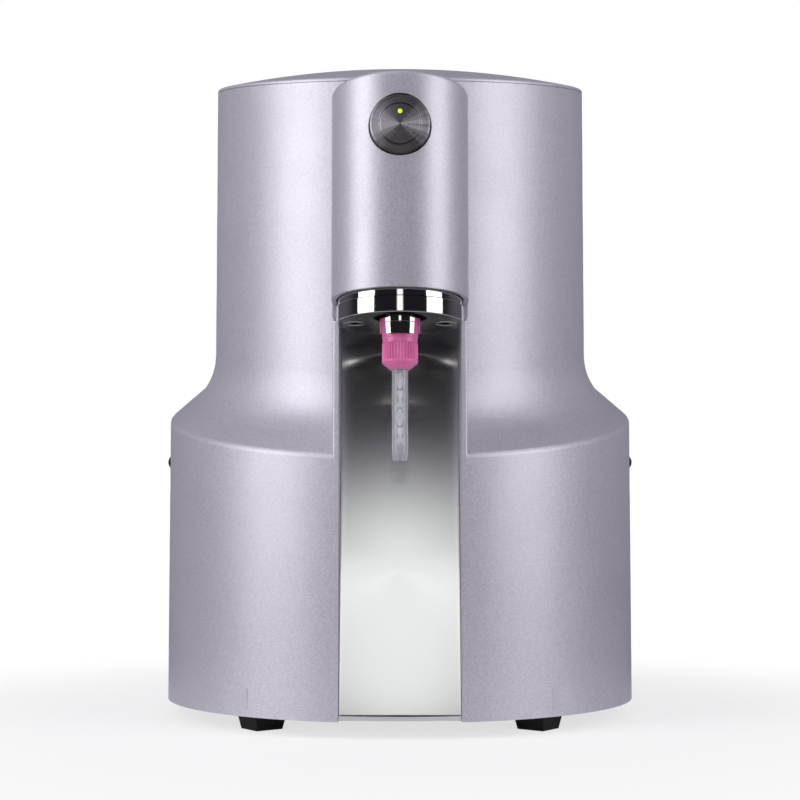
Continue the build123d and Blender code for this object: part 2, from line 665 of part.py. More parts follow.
collar = rod(COLLAR_R, (0, OUTLET_Y, CONE_TOP_Z), (0, OUTLET_Y, COLLAR_TOP_Z))
collar += cone(CONE_BOTTOM_R, COLLAR_R, (0, OUTLET_Y, CONE_BOTTOM_Z), (0, OUTLET_Y, CONE_TOP_Z))
lug_half = LUG_R * math.tan(math.radians(LUG_HALF_ANGLE))
lug_plan = Circle(LUG_R) & (Rectangle(2 * lug_half, 2 * LUG_R) + Rectangle(2 * LUG_R, 2 * lug_half))
collar += Pos(0, OUTLET_Y, LUG_BOTTOM_Z) * extrude(lug_plan, COLLAR_TOP_Z - LUG_BOTTOM_Z)
rib_groove = Pos(COLLAR_R, 0) * Circle(RIB_DEPTH)
rib_grooves = Sketch() + [Rot(0, 0, 360 * index / RIB_COUNT) * rib_groove for index in range(RIB_COUNT)]
collar -= Pos(0, OUTLET_Y, RIB_BOTTOM_Z) * extrude(rib_grooves, RIB_TOP_Z - RIB_BOTTOM_Z)
collar -= rod(COLLAR_BORE_R, (0, OUTLET_Y, TUBE_STEP_Z), (0, OUTLET_Y, COLLAR_TOP_Z + CUT_OVER))
collar -= rod(TUBE_R + FIT_GAP, (0, OUTLET_Y, CONE_BOTTOM_Z - CUT_OVER), (0, OUTLET_Y, TUBE_STEP_Z))
keep("mixer_collar", collar)

taper_z = TUBE_TIP_Z + TUBE_TAPER_H
tube_wall = TUBE_R - TUBE_BORE_R
tube = rod(TUBE_R, (0, OUTLET_Y, taper_z), (0, OUTLET_Y, TUBE_STEP_Z + TUBE_HEAD_T))
tube += cone(TUBE_TIP_R, TUBE_R, (0, OUTLET_Y, TUBE_TIP_Z), (0, OUTLET_Y, taper_z))
tube += rod(COLLAR_BORE_R - FIT_GAP, (0, OUTLET_Y, TUBE_STEP_Z), (0, OUTLET_Y, TUBE_STEP_Z + TUBE_HEAD_T))
tube -= rod(TUBE_BORE_R, (0, OUTLET_Y, taper_z), (0, OUTLET_Y, TUBE_STEP_Z + TUBE_HEAD_T))
tube -= cone(TUBE_TIP_R - tube_wall, TUBE_BORE_R, (0, OUTLET_Y, TUBE_TIP_Z), (0, OUTLET_Y, taper_z))
keep("mixer_tube", tube)

head_low_z = TUBE_STEP_Z + TUBE_HEAD_T
element = rod(COLLAR_BORE_R - FIT_GAP, (0, OUTLET_Y, head_low_z), (0, OUTLET_Y, head_low_z + MIX_HEAD_T))
for side in SIDES.values():
    element -= rod(PORT_R, (side * PORT_X, OUTLET_Y, head_low_z),
                   (side * PORT_X, OUTLET_Y, head_low_z + MIX_HEAD_T))
blade_top_z = head_low_z
for index in range(MIX_COUNT):
    turn = 90 if index % 2 else 0
    hand = 1 if index % 2 else -1
    low_z = blade_top_z - (index + 1) * MIX_PITCH
    foot_point = (0, OUTLET_Y, low_z)
    section = Pos(*foot_point) * Rot(0, 0, turn) * Rectangle(MIX_BLADE_W, MIX_BLADE_T)
    element += Solid.extrude_linear_with_rotation(section.face(), foot_point, (0, 0, MIX_PITCH), 180 * hand)
keep("mixer_element", element)

# Start button in the front of the nose


def button_rod(radius, near_y, far_y, rise=0):
    """Cylinder along the button's axis."""
    return rod(radius, (0, near_y, BUTTON_Z + rise), (0, far_y, BUTTON_Z + rise))


gasket = button_rod(GASKET_R - FIT_GAP, BUTTON_SEAT_Y, BEZEL_BACK_Y)
gasket -= button_rod(BUTTON_BODY_R + FIT_GAP, BUTTON_SEAT_Y, BEZEL_BACK_Y)
keep("button_gasket", gasket)
bezel = button_rod(BEZEL_R, BEZEL_BACK_Y, BEZEL_FRONT_Y)
bezel_front_edge = bezel.edges().filter_by(GeomType.CIRCLE).sort_by(Axis.Y)[0]
bezel = chamfer(bezel_front_edge, BEZEL_EDGE)
bezel -= button_rod(CAP_R + CAP_GAP, BEZEL_BACK_Y, BEZEL_FRONT_Y)
keep("button_bezel", bezel)
housing = button_rod(BUTTON_BODY_R, BEZEL_BACK_Y, BEZEL_BACK_Y + BUTTON_BODY_L)
stem_bottom_y = CAP_FRONT_Y + CAP_T + STEM_L
housing -= button_rod(STEM_R + CAP_GAP, BEZEL_BACK_Y, stem_bottom_y + BUTTON_TRAVEL + CAP_GAP)
keep("button_housing", housing)
cap = button_rod(CAP_R, CAP_FRONT_Y, CAP_FRONT_Y + CAP_T)
cap_front_edge = cap.edges().filter_by(GeomType.CIRCLE).sort_by(Axis.Y)[0]
cap = chamfer(cap_front_edge, CAP_EDGE)
cap += button_rod(STEM_R, CAP_FRONT_Y + CAP_T, stem_bottom_y)
cap -= button_rod(LED_R + FIT_GAP, CAP_FRONT_Y, CAP_FRONT_Y + LED_T, LED_RISE)
keep("button_cap", cap)
keep("button_led", button_rod(LED_R, CAP_FRONT_Y, CAP_FRONT_Y + LED_T, LED_RISE))
nut_y = BUTTON_SEAT_Y + BUTTON_PAD_T
ring_nut = hexagon(RING_NUT_R, (0, nut_y, BUTTON_Z), (0, nut_y + RING_NUT_T, BUTTON_Z))
keep("button_nut", ring_nut - button_rod(BUTTON_BODY_R + FIT_GAP, nut_y, nut_y + RING_NUT_T))

# Lid: a crowned shell that leans with the parting line, on a long hinge


def crown(height_shift):
    """Everything under the lid's crown: a dome in front that runs on as an arch behind."""
    top_z = LID_EDGE_H + LID_CROWN_H + height_shift
    side_z = top_z - LID_CROWN_R + math.sqrt(LID_CROWN_R ** 2 - BODY_R ** 2)
    middle_x = BODY_R / 2
    middle_z = top_z - LID_CROWN_R + math.sqrt(LID_CROWN_R ** 2 - middle_x ** 2)
    profile = make_face(Curve() + [
        Line((0, -BODY_R), (BODY_R, -BODY_R)),
        Line((BODY_R, -BODY_R), (BODY_R, side_z)),
        ThreePointArc((BODY_R, side_z), (middle_x, middle_z), (0, top_z)),
        Line((0, top_z), (0, -BODY_R)),
    ])
    return round_front(Plane.XZ * profile, REAR_Y)


lid_prism = Pos(0, 0, JOINT_GAP) * extrude(round_plan(NECK_R, LID_REAR_Y), BODY_R)
lid = lid_prism & crown(0)
lid_rim = lid.edges().filter_by_position(Axis.Z, LID_EDGE_H - FIT_GAP, LID_EDGE_H + FIT_GAP)
lid = fillet(lid_rim, LID_TOP_EDGE_R)
lid_hollow = extrude(round_plan(NECK_R - LID_RIM, LID_REAR_Y - LID_LAND), BODY_R)
lid -= lid_hollow & crown(-LID_WALL)
lid = Pos(0, 0, PARTING_Z) * lid
keep("top_lid", lean(lid, PARTING_LEAN))

knuckle_w = 2 * HINGE_HALF / HINGE_KNUCKLES


def knuckles(first, gap):
    """Every second knuckle of the hinge, from the first or the second on, as x limits."""
    for index in range(first, HINGE_KNUCKLES, 2):
        low = -HINGE_HALF + index * knuckle_w
        yield low + gap / 2, low + knuckle_w - gap / 2


def hinge_barrel(low_x, high_x):
    """One knuckle of the hinge."""
    return rod(HINGE_R, (low_x, HINGE_Y, HINGE_Z), (high_x, HINGE_Y, HINGE_Z))


pin_hole = rod(HINGE_PIN_R + RUN_GAP, (-HINGE_HALF, HINGE_Y, HINGE_Z), (HINGE_HALF, HINGE_Y, HINGE_Z))
panel_inner_y = PANEL_Y - PANEL_T
fixed_leaf = block((-HINGE_HALF, HINGE_HALF), (panel_inner_y - HINGE_LEAF_T, panel_inner_y),
                   (HINGE_Z - HINGE_LEAF_W, HINGE_Z - HINGE_R - HINGE_GAP))
for low_x, high_x in knuckles(0, HINGE_GAP):
    fixed_leaf += hinge_barrel(low_x, high_x)
    fixed_leaf += block((low_x, high_x), (panel_inner_y - HINGE_LEAF_T, panel_inner_y),
                        (HINGE_Z - HINGE_LEAF_W, HINGE_Z))
keep("hinge_leaf", fixed_leaf - pin_hole)

leaf_y = (LID_REAR_Y - HINGE_LEAF_W, LID_REAR_Y)
leaf_z = (PARTING_Z + JOINT_GAP - HINGE_LEAF_T, PARTING_Z + JOINT_GAP)
lid_leaf = lean(block((-HINGE_HALF, HINGE_HALF), leaf_y, leaf_z), PARTING_LEAN)
for low_x, high_x in knuckles(1, HINGE_GAP):
    lid_leaf += hinge_barrel(low_x, high_x)
    lid_leaf += lean(block((low_x, high_x), (leaf_y[0], HINGE_Y - HINGE_PIN_R), leaf_z), PARTING_LEAN)
keep("lid_leaf", lid_leaf - pin_hole)
keep("hinge_pin", rod(HINGE_PIN_R, (-HINGE_HALF, HINGE_Y, HINGE_Z), (HINGE_HALF, HINGE_Y, HINGE_Z)))

# Rear panel with vents, inlet, switch and fuse, held by screws into the housing's tabs


def mains_block(x, z, size, front_y, grow=0):
    """Block on the rear panel: width, height and depth, reaching inwards from a given face."""
    width, height, depth = size
    return block((x - width / 2 - grow, x + width / 2 + grow), (front_y - depth, front_y),
                 (z - height / 2 - grow, z + height / 2 + grow))


panel_top_z = HINGE_Z - HINGE_R - HINGE_GAP
panel_slab = block((-BODY_R, BODY_R), (panel_inner_y, PANEL_Y), (PANEL_BOTTOM_Z, panel_top_z))
panel = housing_solid(WALL + JOINT_GAP) & panel_slab
outside_y = PANEL_Y + CUT_OVER
through = PANEL_T + 2 * CUT_OVER
for index in range(VENT_COUNT):
    vent_z = VENT_Z + index * VENT_PITCH
    vent_plane = Plane(origin=(VENT_X, outside_y, vent_z), x_dir=(1, 0, 0), z_dir=(0, -1, 0))
    panel -= extrude(vent_plane * SlotOverall(VENT_W, VENT_H), through)
for mains_x, mains_z, body_size in ((MAINS_X, INLET_Z, INLET_BODY), (MAINS_X, SWITCH_Z, SWITCH_BODY),
                                    (FUSE_X, INLET_Z, FUSE_BODY)):
    panel -= mains_block(mains_x, mains_z, (*body_size[:2], through), outside_y, FIT_GAP)


def panel_screw(side, z, wall_x):
    """Round-headed screw through the rear panel into a tab."""
    x = side * (wall_x - TAB_REACH / 2)
    head = rod(SCREW_HEAD_R, (x, PANEL_Y, z), (x, PANEL_Y + SCREW_HEAD_H, z))
    slot = block((x - SCREW_HEAD_R, x + SCREW_HEAD_R), (PANEL_Y + SCREW_HEAD_H / 2, PANEL_Y + SCREW_HEAD_H),
                 (z - SCREW_HEAD_H / 4, z + SCREW_HEAD_H / 4))
    return head - slot + rod(SCREW_R, (x, PANEL_Y, z), (x, PANEL_Y - SCREW_L, z))


for side, z, wall_x in panel_screw_places():
    x = side * (wall_x - TAB_REACH / 2)
    panel -= rod(SCREW_R + JOINT_GAP, (x, outside_y, z), (x, panel_inner_y - CUT_OVER, z))
keep("rear_panel", panel)
keep("panel_screws", *[panel_screw(*place) for place in panel_screw_places()])

inlet = mains_block(MAINS_X, INLET_Z, INLET_FLANGE, PANEL_Y + INLET_FLANGE[2])
inlet = fillet(inlet.edges().filter_by(Axis.Y), INLET_CORNER)
inlet += mains_block(MAINS_X, INLET_Z, INLET_BODY, PANEL_Y)
cavity = mains_block(MAINS_X, INLET_Z, INLET_CAVITY, PANEL_Y + INLET_FLANGE[2])
cavity = chamfer(cavity.edges().filter_by(Axis.Y).group_by(Axis.Z)[-1], INLET_CORNER)
keep("power_inlet", inlet - cavity)
cavity_floor_y = PANEL_Y + INLET_FLANGE[2] - INLET_CAVITY[2]
contact_rise = INLET_CAVITY[1] / 2 - INLET_CORNER - CONTACT[1] / 2
contact_places = ((-CONTACT_X, contact_rise / 2), (0, contact_rise), (CONTACT_X, contact_rise / 2))
keep("inlet_contacts", *[mains_block(MAINS_X + shift, INLET_Z + rise, CONTACT, cavity_floor_y + CONTACT[2])
                         for shift, rise in contact_places])

rocker_y = PANEL_Y - ROCKER_PIVOT_IN + SWITCH_FLANGE[2]
frame = mains_block(MAINS_X, SWITCH_Z, SWITCH_FLANGE, PANEL_Y + SWITCH_FLANGE[2])
frame += mains_block(MAINS_X, SWITCH_Z, SWITCH_BODY, PANEL_Y)
frame_hole = (SWITCH_BODY[0] - 2 * SWITCH_WALL, SWITCH_BODY[1] - 2 * SWITCH_WALL, SWITCH_BODY[2])
frame -= mains_block(MAINS_X, SWITCH_Z, frame_hole, PANEL_Y + SWITCH_FLANGE[2])
frame -= rod(ROCKER_PIN_R + RUN_GAP, (MAINS_X - SWITCH_BODY[0], rocker_y, SWITCH_Z),
             (MAINS_X + SWITCH_BODY[0], rocker_y, SWITCH_Z))
keep("switch_frame", frame)
tip = ROCKER_R * math.sqrt(0.5)
rocker_outline = make_face(Polyline((-ROCKER_BACK, -tip), (tip, -tip), (tip - ROCKER_DISH, 0), (tip, tip),
                                    (-ROCKER_BACK, tip), (-ROCKER_BACK, -tip)))
rocker_half = frame_hole[0] / 2 - CAP_GAP
rocker = extrude(Plane.YZ * rocker_outline, rocker_half, both=True)
rocker += rod(ROCKER_PIN_R, (-SWITCH_BODY[0] / 2 + RUN_GAP, 0, 0), (SWITCH_BODY[0] / 2 - RUN_GAP, 0, 0))
keep("switch_rocker", Pos(MAINS_X, rocker_y, SWITCH_Z) * Rot(-ROCKER_TILT, 0, 0) * rocker)

holder = mains_block(FUSE_X, INLET_Z, FUSE_FLANGE, PANEL_Y + FUSE_FLANGE[2])
holder += mains_block(FUSE_X, INLET_Z, FUSE_BODY, PANEL_Y)
fuse_face_y = PANEL_Y + FUSE_FLANGE[2]
holder -= mains_block(FUSE_X, INLET_Z, FUSE_BORE, fuse_face_y)
keep("fuse_holder", holder)
drawer = mains_block(FUSE_X, INLET_Z, DRAWER_FACE, fuse_face_y + DRAWER_FACE[2])
drawer_body = (FUSE_BORE[0] - 2 * DRAWER_GAP, FUSE_BORE[1] - 2 * DRAWER_GAP, FUSE_BORE[2] - DRAWER_GAP)
keep("fuse_drawer", drawer + mains_block(FUSE_X, INLET_Z, drawer_body, fuse_face_y))

# Base plate, tapered feet with their screws, and the brackets behind the side screws

base_r = BODY_R - WALL - BASE_GAP
base = Pos(0, 0, BASE_Z) * extrude(round_plan(base_r, panel_inner_y - BASE_GAP), BASE_T)
channel_back_y = PLATE_FOOT_Y + PLATE_LEAN * BASE_TOP_Z + PLATE_T + RECESS_WALL
base -= block((-COLUMN_HALF - BASE_GAP, COLUMN_HALF + BASE_GAP), (-BODY_R, channel_back_y + BASE_GAP),
              (0, BASE_TOP_Z))
for x, y, turn in foot_places():
    base -= rod(FOOT_SCREW_R + FIT_GAP, (x, y, 0), (x, y, BASE_TOP_Z))
keep("base_plate", base)


def foot(x, y, turn):
    """Tapered rubber block with a sunk hole for its screw."""
    high = Pos(x, y, BASE_Z) * Rot(0, 0, turn) * Rectangle(FOOT_TOP, FOOT_TOP)
    low = Pos(x, y, -FOOT_H) * Rot(0, 0, turn) * Rectangle(FOOT_BOTTOM, FOOT_BOTTOM)
    solid = loft([high, low])
    solid -= rod(FOOT_SCREW_HEAD_R + FIT_GAP, (x, y, -FOOT_H), (x, y, -FOOT_H / 2 + FOOT_SCREW_HEAD_H))
    return solid - rod(FOOT_SCREW_R + FIT_GAP, (x, y, -FOOT_H), (x, y, BASE_TOP_Z))


def foot_screw(x, y):
    """Screw from inside a foot, through the base plate, into the housing's boss."""
    head_z = -FOOT_H / 2 + FOOT_SCREW_HEAD_H
    head = rod(FOOT_SCREW_HEAD_R, (x, y, head_z - FOOT_SCREW_HEAD_H), (x, y, head_z))
    head -= hexagon(FOOT_SCREW_R, (x, y, head_z - FOOT_SCREW_HEAD_H), (x, y, head_z - FOOT_SCREW_HEAD_H / 2))
    return head + rod(FOOT_SCREW_R, (x, y, head_z), (x, y, BASE_TOP_Z + BOSS_H - WALL - CUT_OVER))


keep("rubber_feet", *[foot(*place) for place in foot_places()])
keep("foot_screws", *[foot_screw(x, y) for x, y, turn in foot_places()])


def side_bracket(side):
    """Angle bracket from the base plate up to the side screw."""
    wall_x = math.sqrt((BODY_R - WALL) ** 2 - (BRACKET_W / 2 - SIDE_SCREW_Y) ** 2)
    width = (SIDE_SCREW_Y - BRACKET_W / 2, SIDE_SCREW_Y + BRACKET_W / 2)
    upright = block(across(side, wall_x - BRACKET_T, wall_x), width, (BASE_TOP_Z, BRACKET_TOP_Z))
    foot_plate = block(across(side, wall_x - BRACKET_FOOT, wall_x), width,
                       (BASE_TOP_Z, BASE_TOP_Z + BRACKET_T))
    hole = rod(SIDE_SCREW_R + FIT_GAP, (0, SIDE_SCREW_Y, SIDE_SCREW_Z),
               (side * BODY_R, SIDE_SCREW_Y, SIDE_SCREW_Z))
    return upright + foot_plate - hole


def side_screw(side):
    """Domed black screw in the flank of the housing."""
    dome_r = (SIDE_HEAD_R ** 2 + SIDE_HEAD_H ** 2) / (2 * SIDE_HEAD_H)
    start = (side * BODY_R, SIDE_SCREW_Y, SIDE_SCREW_Z)
    tip_x = side * (BODY_R + SIDE_HEAD_H)
    half_r = SIDE_HEAD_R / 2
    half_h = math.sqrt(dome_r ** 2 - half_r ** 2) - dome_r + SIDE_HEAD_H
    outline = make_face(Curve() + [
        Line((0, 0), (SIDE_HEAD_R, 0)),
        ThreePointArc((SIDE_HEAD_R, 0), (half_r, half_h), (0, SIDE_HEAD_H)),
        Line((0, SIDE_HEAD_H), (0, 0)),
    ])
    dome = Plane(origin=start, z_dir=(side, 0, 0)) * revolve(Plane.XZ * outline, Axis.Z)
    shank = rod(SIDE_SCREW_R, start, (side * (BODY_R - SIDE_SCREW_L), SIDE_SCREW_Y, SIDE_SCREW_Z))
    key = hexagon(SIDE_KEY_R, (tip_x, SIDE_SCREW_Y, SIDE_SCREW_Z),
                  (tip_x - side * SIDE_KEY_DEPTH, SIDE_SCREW_Y, SIDE_SCREW_Z))
    return dome + shank - key


keep("side_brackets", *both_sides(side_bracket))
keep("side_screws", *both_sides(side_screw))

# Supply tanks on their deck, with bayonet lids and seal rings

deck = Pos(0, 0, DECK_Z) * extrude(round_plan(DECK_R, DECK_REAR_Y), DECK_T)
deck -= block((-DECK_R, DECK_R), (-DECK_R, DECK_FRONT_Y), (DECK_Z, DECK_Z + DECK_T))
tank_lid_z = TANK_TOP_Z + TANK_SEAL_T
tank_seals = []
for name, side in SIDES.items():
    centre = (side * TANK_X, TANK_Y)
    deck -= rod(TANK_SPIGOT_R + JOINT_GAP, (*centre, DECK_Z), (*centre, TANK_FLOOR_Z))
    tank = rod(TANK_R, (*centre, TANK_FLOOR_Z), (*centre, TANK_TOP_Z))
    tank += rod(TANK_SPIGOT_R, (*centre, TANK_OUTLET_Z), (*centre, TANK_FLOOR_Z))
    tank -= rod(TANK_R - TANK_WALL, (*centre, TANK_FLOOR_Z + TANK_FLOOR_T), (*centre, TANK_TOP_Z))
    tank -= rod(TANK_BORE_R, (*centre, TANK_OUTLET_Z), (*centre, TANK_FLOOR_Z + TANK_FLOOR_T))
    keep("tank_" + name, tank)
    seal = rod(TANK_R, (*centre, TANK_TOP_Z), (*centre, tank_lid_z))
    tank_seals.append(seal - rod(TANK_R - TANK_WALL, (*centre, TANK_TOP_Z), (*centre, tank_lid_z)))
    skirt_r = TANK_R + JOINT_GAP
    tank_lid = rod(skirt_r + TANK_LID_WALL, (*centre, tank_lid_z + JOINT_GAP - TANK_LID_SKIRT),
                   (*centre, tank_lid_z + TANK_LID_T))
    tank_lid -= rod(skirt_r, (*centre, tank_lid_z - TANK_LID_SKIRT), (*centre, tank_lid_z + JOINT_GAP))
    grip = block((centre[0] - TANK_LID_GRIP_R, centre[0] + TANK_LID_GRIP_R),
                 (TANK_Y - TANK_LID_WALL * 2, TANK_Y + TANK_LID_WALL * 2),
                 (tank_lid_z + TANK_LID_T, tank_lid_z + TANK_LID_T + TANK_LID_GRIP_H))
    keep("tank_lid_" + name, tank_lid + fillet(grip.edges().filter_by(Axis.Z), TANK_LID_WALL))
keep("tank_seals", *tank_seals)
keep("tank_deck", deck)
keep("deck_posts", *[rod(POST_R, (side * POST_X, y, BASE_TOP_Z), (side * POST_X, y, DECK_Z))
                     for side in SIDES.values() for y in (POST_FRONT_Y, POST_REAR_Y)])


# Gears: involute flanks between the root and the tip circle


def gear_plan(teeth, module):
    """Outline of a spur gear with one tooth along its own x axis."""
    pitch_r = teeth * module / 2
    pressure = math.radians(PRESSURE_ANGLE)
    base_circle = pitch_r * math.cos(pressure)
    tip_r = pitch_r + module
    root_r = pitch_r - 1.25 * module
    half_tooth = math.pi / (2 * teeth) - BACKLASH / (2 * pitch_r)
    start_r = max(base_circle, root_r)

    def flank_point(radius, hand):
        turn = math.acos(min(1, base_circle / radius))
        involute = math.tan(pressure) - pressure - math.tan(turn) + turn
        angle = hand * (half_tooth + involute)
        return Vector(radius * math.cos(angle), radius * math.sin(angle))

    radii = [start_r + (tip_r - start_r) * step / 4 for step in range(5)]
    left, right = [[flank_point(radius, hand) for radius in radii] for hand in (1, -1)]
    inside = 0.9 * root_r / start_r
    tooth = make_face(Curve() + [
        Spline(*left),
        Spline(*right),
        ThreePointArc(left[-1], (tip_r, 0), right[-1]),
        Line(left[0] * inside, left[0]),
        Line(right[0] * inside, right[0]),
        Line(left[0] * inside, right[0] * inside),
    ])
    return Circle(root_r) + [Rot(0, 0, 360 * index / teeth) * tooth for index in range(teeth)]


def gear(teeth, module, x_limits, z, turn, bore_r):
    """Spur gear on an axis along X in the plane of the pump shaft."""
    plan = Rot(0, 0, turn) * (gear_plan(teeth, module) - Circle(bore_r))
    return Pos(x_limits[0], PUMP_Y, z) * extrude(Plane.YZ * plan, x_limits[1] - x_limits[0])


wheel = gear(WHEEL_TEETH, DRIVE_MODULE, (-WHEEL_W / 2, WHEEL_W / 2), SHAFT_Z, 0, SHAFT_R)
hub = rod(WHEEL_HUB_R, (-WHEEL_HUB_W / 2, PUMP_Y, SHAFT_Z), (WHEEL_HUB_W / 2, PUMP_Y, SHAFT_Z))
wheel += hub - rod(SHAFT_R, (-WHEEL_HUB_W, PUMP_Y, SHAFT_Z), (WHEEL_HUB_W, PUMP_Y, SHAFT_Z))
keep("shaft_gear", wheel)
pinion = gear(PINION_TEETH, DRIVE_MODULE, (-PINION_W / 2, PINION_W / 2), PINION_Z, 180 / PINION_TEETH,
              PINION_SHAFT_R)
pinion += rod(PINION_SHAFT_R, (-PINION_W / 2, PUMP_Y, PINION_Z),
              (PUMP_BACK_X + PINION_SHAFT_IN, PUMP_Y, PINION_Z))
keep("motor_pinion", pinion)
shaft_end_x = PUMP_COVER_X + PUMP_COVER_T / 2
keep("pump_shaft", rod(SHAFT_R, (-shaft_end_x, PUMP_Y, SHAFT_Z), (shaft_end_x, PUMP_Y, SHAFT_Z)))

# Metering pumps: two meshing gears in a body with a cover, one pump for each tank

chamber_r = PUMP_CENTRES / 2 + PUMP_MODULE + PUMP_TIP_GAP
pump_y = (PUMP_Y - PUMP_DEPTH / 2, PUMP_Y + PUMP_DEPTH / 2)
pump_z = (PUMP_BOTTOM_Z, PUMP_TOP_Z)
pin_start_x = PUMP_BACK_X + PUMP_BACK_T / 4
pin_end_x = PUMP_COVER_X + PUMP_COVER_T / 2
head_x = PUMP_COVER_X + PUMP_COVER_T
screw_x = PUMP_BACK_X + PUMP_SCREW_START
pump_screw_places = [(y, z) for y in (pump_y[0] + PUMP_SCREW_INSET, pump_y[1] - PUMP_SCREW_INSET)
                     for z in (pump_z[0] + PUMP_SCREW_INSET, pump_z[1] - PUMP_SCREW_INSET)]


def bar(side, radius, z, low, high, y=PUMP_Y):
    """Cylinder along X on one side of the middle."""
    return rod(radius, (side * low, y, z), (side * high, y, z))


def pump_holes(side):
    """Holes for the screws that hold a cover on its body."""
    return [bar(side, PUMP_SCREW_R + FIT_GAP, z, screw_x - FIT_GAP, head_x + CUT_OVER, y)
            for y, z in pump_screw_places]


def pump_body(side):
    """Body with two meeting chambers, a bearing bore, a seat for the idler pin and ports fore and aft."""
    body = block(across(side, PUMP_BACK_X, PUMP_COVER_X), pump_y, pump_z)
    body -= bar(side, chamber_r, SHAFT_Z, CHAMBER_X, PUMP_COVER_X)
    body -= bar(side, chamber_r, IDLER_Z, CHAMBER_X, PUMP_COVER_X)
    body -= bar(side, SHAFT_R + RUN_GAP, SHAFT_Z, PUMP_BACK_X - CUT_OVER, PUMP_COVER_X)
    body -= bar(side, IDLER_PIN_R + FIT_GAP / 2, IDLER_Z, pin_start_x, PUMP_COVER_X)
    body -= rod(PUMP_PORT_R, (side * TANK_X, pump_y[0] - CUT_OVER, PUMP_PORT_Z),
                (side * TANK_X, pump_y[1] + CUT_OVER, PUMP_PORT_Z))
    return body - pump_holes(side)


def pump_cover(side):
    """Cover with the outer bearing bore and the idler pin's outer seat."""
    cover = block(across(side, PUMP_COVER_X, head_x), pump_y, pump_z)
    cover -= bar(side, SHAFT_R + RUN_GAP, SHAFT_Z, PUMP_COVER_X - CUT_OVER, shaft_end_x + FIT_GAP)
    cover -= bar(side, IDLER_PIN_R + FIT_GAP / 2, IDLER_Z, PUMP_COVER_X - CUT_OVER, pin_end_x + FIT_GAP)
    return cover - pump_holes(side)


def pump_screw(side, y, z):
    """Screw with a round head and a hexagonal key hole."""
    screw = bar(side, PUMP_SCREW_R, z, screw_x, head_x, y)
    screw += bar(side, PUMP_SCREW_HEAD_R, z, head_x, head_x + PUMP_SCREW_HEAD_H, y)
    return screw - hexagon(PUMP_SCREW_R, (side * (head_x + PUMP_SCREW_HEAD_H), y, z),
                           (side * (head_x + PUMP_SCREW_HEAD_H / 2), y, z))


def pump_gear(side, z, turn, bore_r):
    """One gear of a pump, with a running gap at each of its faces."""
    gear_x = across(side, CHAMBER_X + PUMP_SIDE_GAP, PUMP_COVER_X - PUMP_SIDE_GAP)
    return gear(PUMP_TEETH, PUMP_MODULE, gear_x, z, turn, bore_r)


for name, side in SIDES.items():
    keep("pump_body_" + name, pump_body(side))
    keep("idler_gear_" + name, pump_gear(side, IDLER_Z, 180 / PUMP_TEETH, IDLER_PIN_R + RUN_GAP))
keep("pump_covers", *both_sides(pump_cover))
keep("pump_gears", *both_sides(lambda side: pump_gear(side, SHAFT_Z, 0, SHAFT_R)))
keep("pump_screws", *[pump_screw(side, *place) for side in SIDES.values() for place in pump_screw_places])
keep("idler_pins", *both_sides(lambda side: bar(side, IDLER_PIN_R, IDLER_Z, pin_start_x, pin_end_x)))

# Steel frame that carries both pumps and the motor

frame_y = (FRAME_FRONT_Y, FRAME_REAR_Y)
drive_frame = block((-PUMP_BACK_X, PUMP_BACK_X), frame_y, (BASE_TOP_Z, BASE_TOP_Z + FRAME_T))
for side in SIDES.values():
    drive_frame += block(across(side, PUMP_BACK_X - FRAME_T, PUMP_BACK_X), frame_y, (BASE_TOP_Z, FRAME_TOP_Z))
drive_frame -= rod(FRAME_HOLE_R, (-PUMP_BACK_X, PUMP_Y, SHAFT_Z), (PUMP_BACK_X, PUMP_Y, SHAFT_Z))
drive_frame -= rod(FRAME_HOLE_R, (0, PUMP_Y, PINION_Z), (PUMP_BACK_X, PUMP_Y, PINION_Z))
keep("drive_frame", drive_frame)

gearbox_end_x = PUMP_BACK_X + GEARBOX_L
motor_end_x = gearbox_end_x + MOTOR_L
motor = rod(GEARBOX_R, (PUMP_BACK_X, PUMP_Y, PINION_Z), (gearbox_end_x, PUMP_Y, PINION_Z))
motor += rod(MOTOR_R, (gearbox_end_x, PUMP_Y, PINION_Z), (motor_end_x, PUMP_Y, PINION_Z))
motor += rod(MOTOR_CAP_R, (motor_end_x, PUMP_Y, PINION_Z), (motor_end_x + MOTOR_CAP_L, PUMP_Y, PINION_Z))
motor -= rod(PINION_SHAFT_R + RUN_GAP, (PUMP_BACK_X - CUT_OVER, PUMP_Y, PINION_Z),
             (PUMP_BACK_X + PINION_SHAFT_IN + CUT_OVER, PUMP_Y, PINION_Z))
keep("gear_motor", motor)

# Hoses held between barbed fittings, with their fittings


def fitting(place, direction):
    """Hexagonal nut and barb that stand out from a port."""
    place, direction = Vector(*place), Vector(*direction)
    nut_end = place + direction * NUT_L
    barb_end = nut_end + direction * BARB_L
    solid = hexagon(NUT_R, place, nut_end) + rod(BARB_R, nut_end, barb_end)
    return solid - rod(FITTING_BORE_R, place, barb_end)


def hose(name, points):
    """Hose along straight runs joined by arcs as large as the runs allow."""
    points = [Vector(*point) for point in points]
    runs = [points[index + 1] - points[index] for index in range(len(points) - 1)]
    radii = []
    for before, after in zip(runs, runs[1:]):
        half_turn = math.radians(before.get_angle(after)) / 2
        radii.append(BEND_SHARE * min(before.length, after.length) / math.tan(half_turn))
    path = FilletPolyline(*points, radius=radii)
    plane = Plane(origin=points[0], z_dir=runs[0])
    tube = sweep(plane * (Circle(HOSE_R) - Circle(HOSE_BORE_R)), path)
    section = math.pi * (HOSE_R ** 2 - HOSE_BORE_R ** 2)
    print(name, "bend radii", [round(radius, 1) for radius in radii],
          "volume over section times length", round(tube.volume / (section * path.length), 5))
    return tube


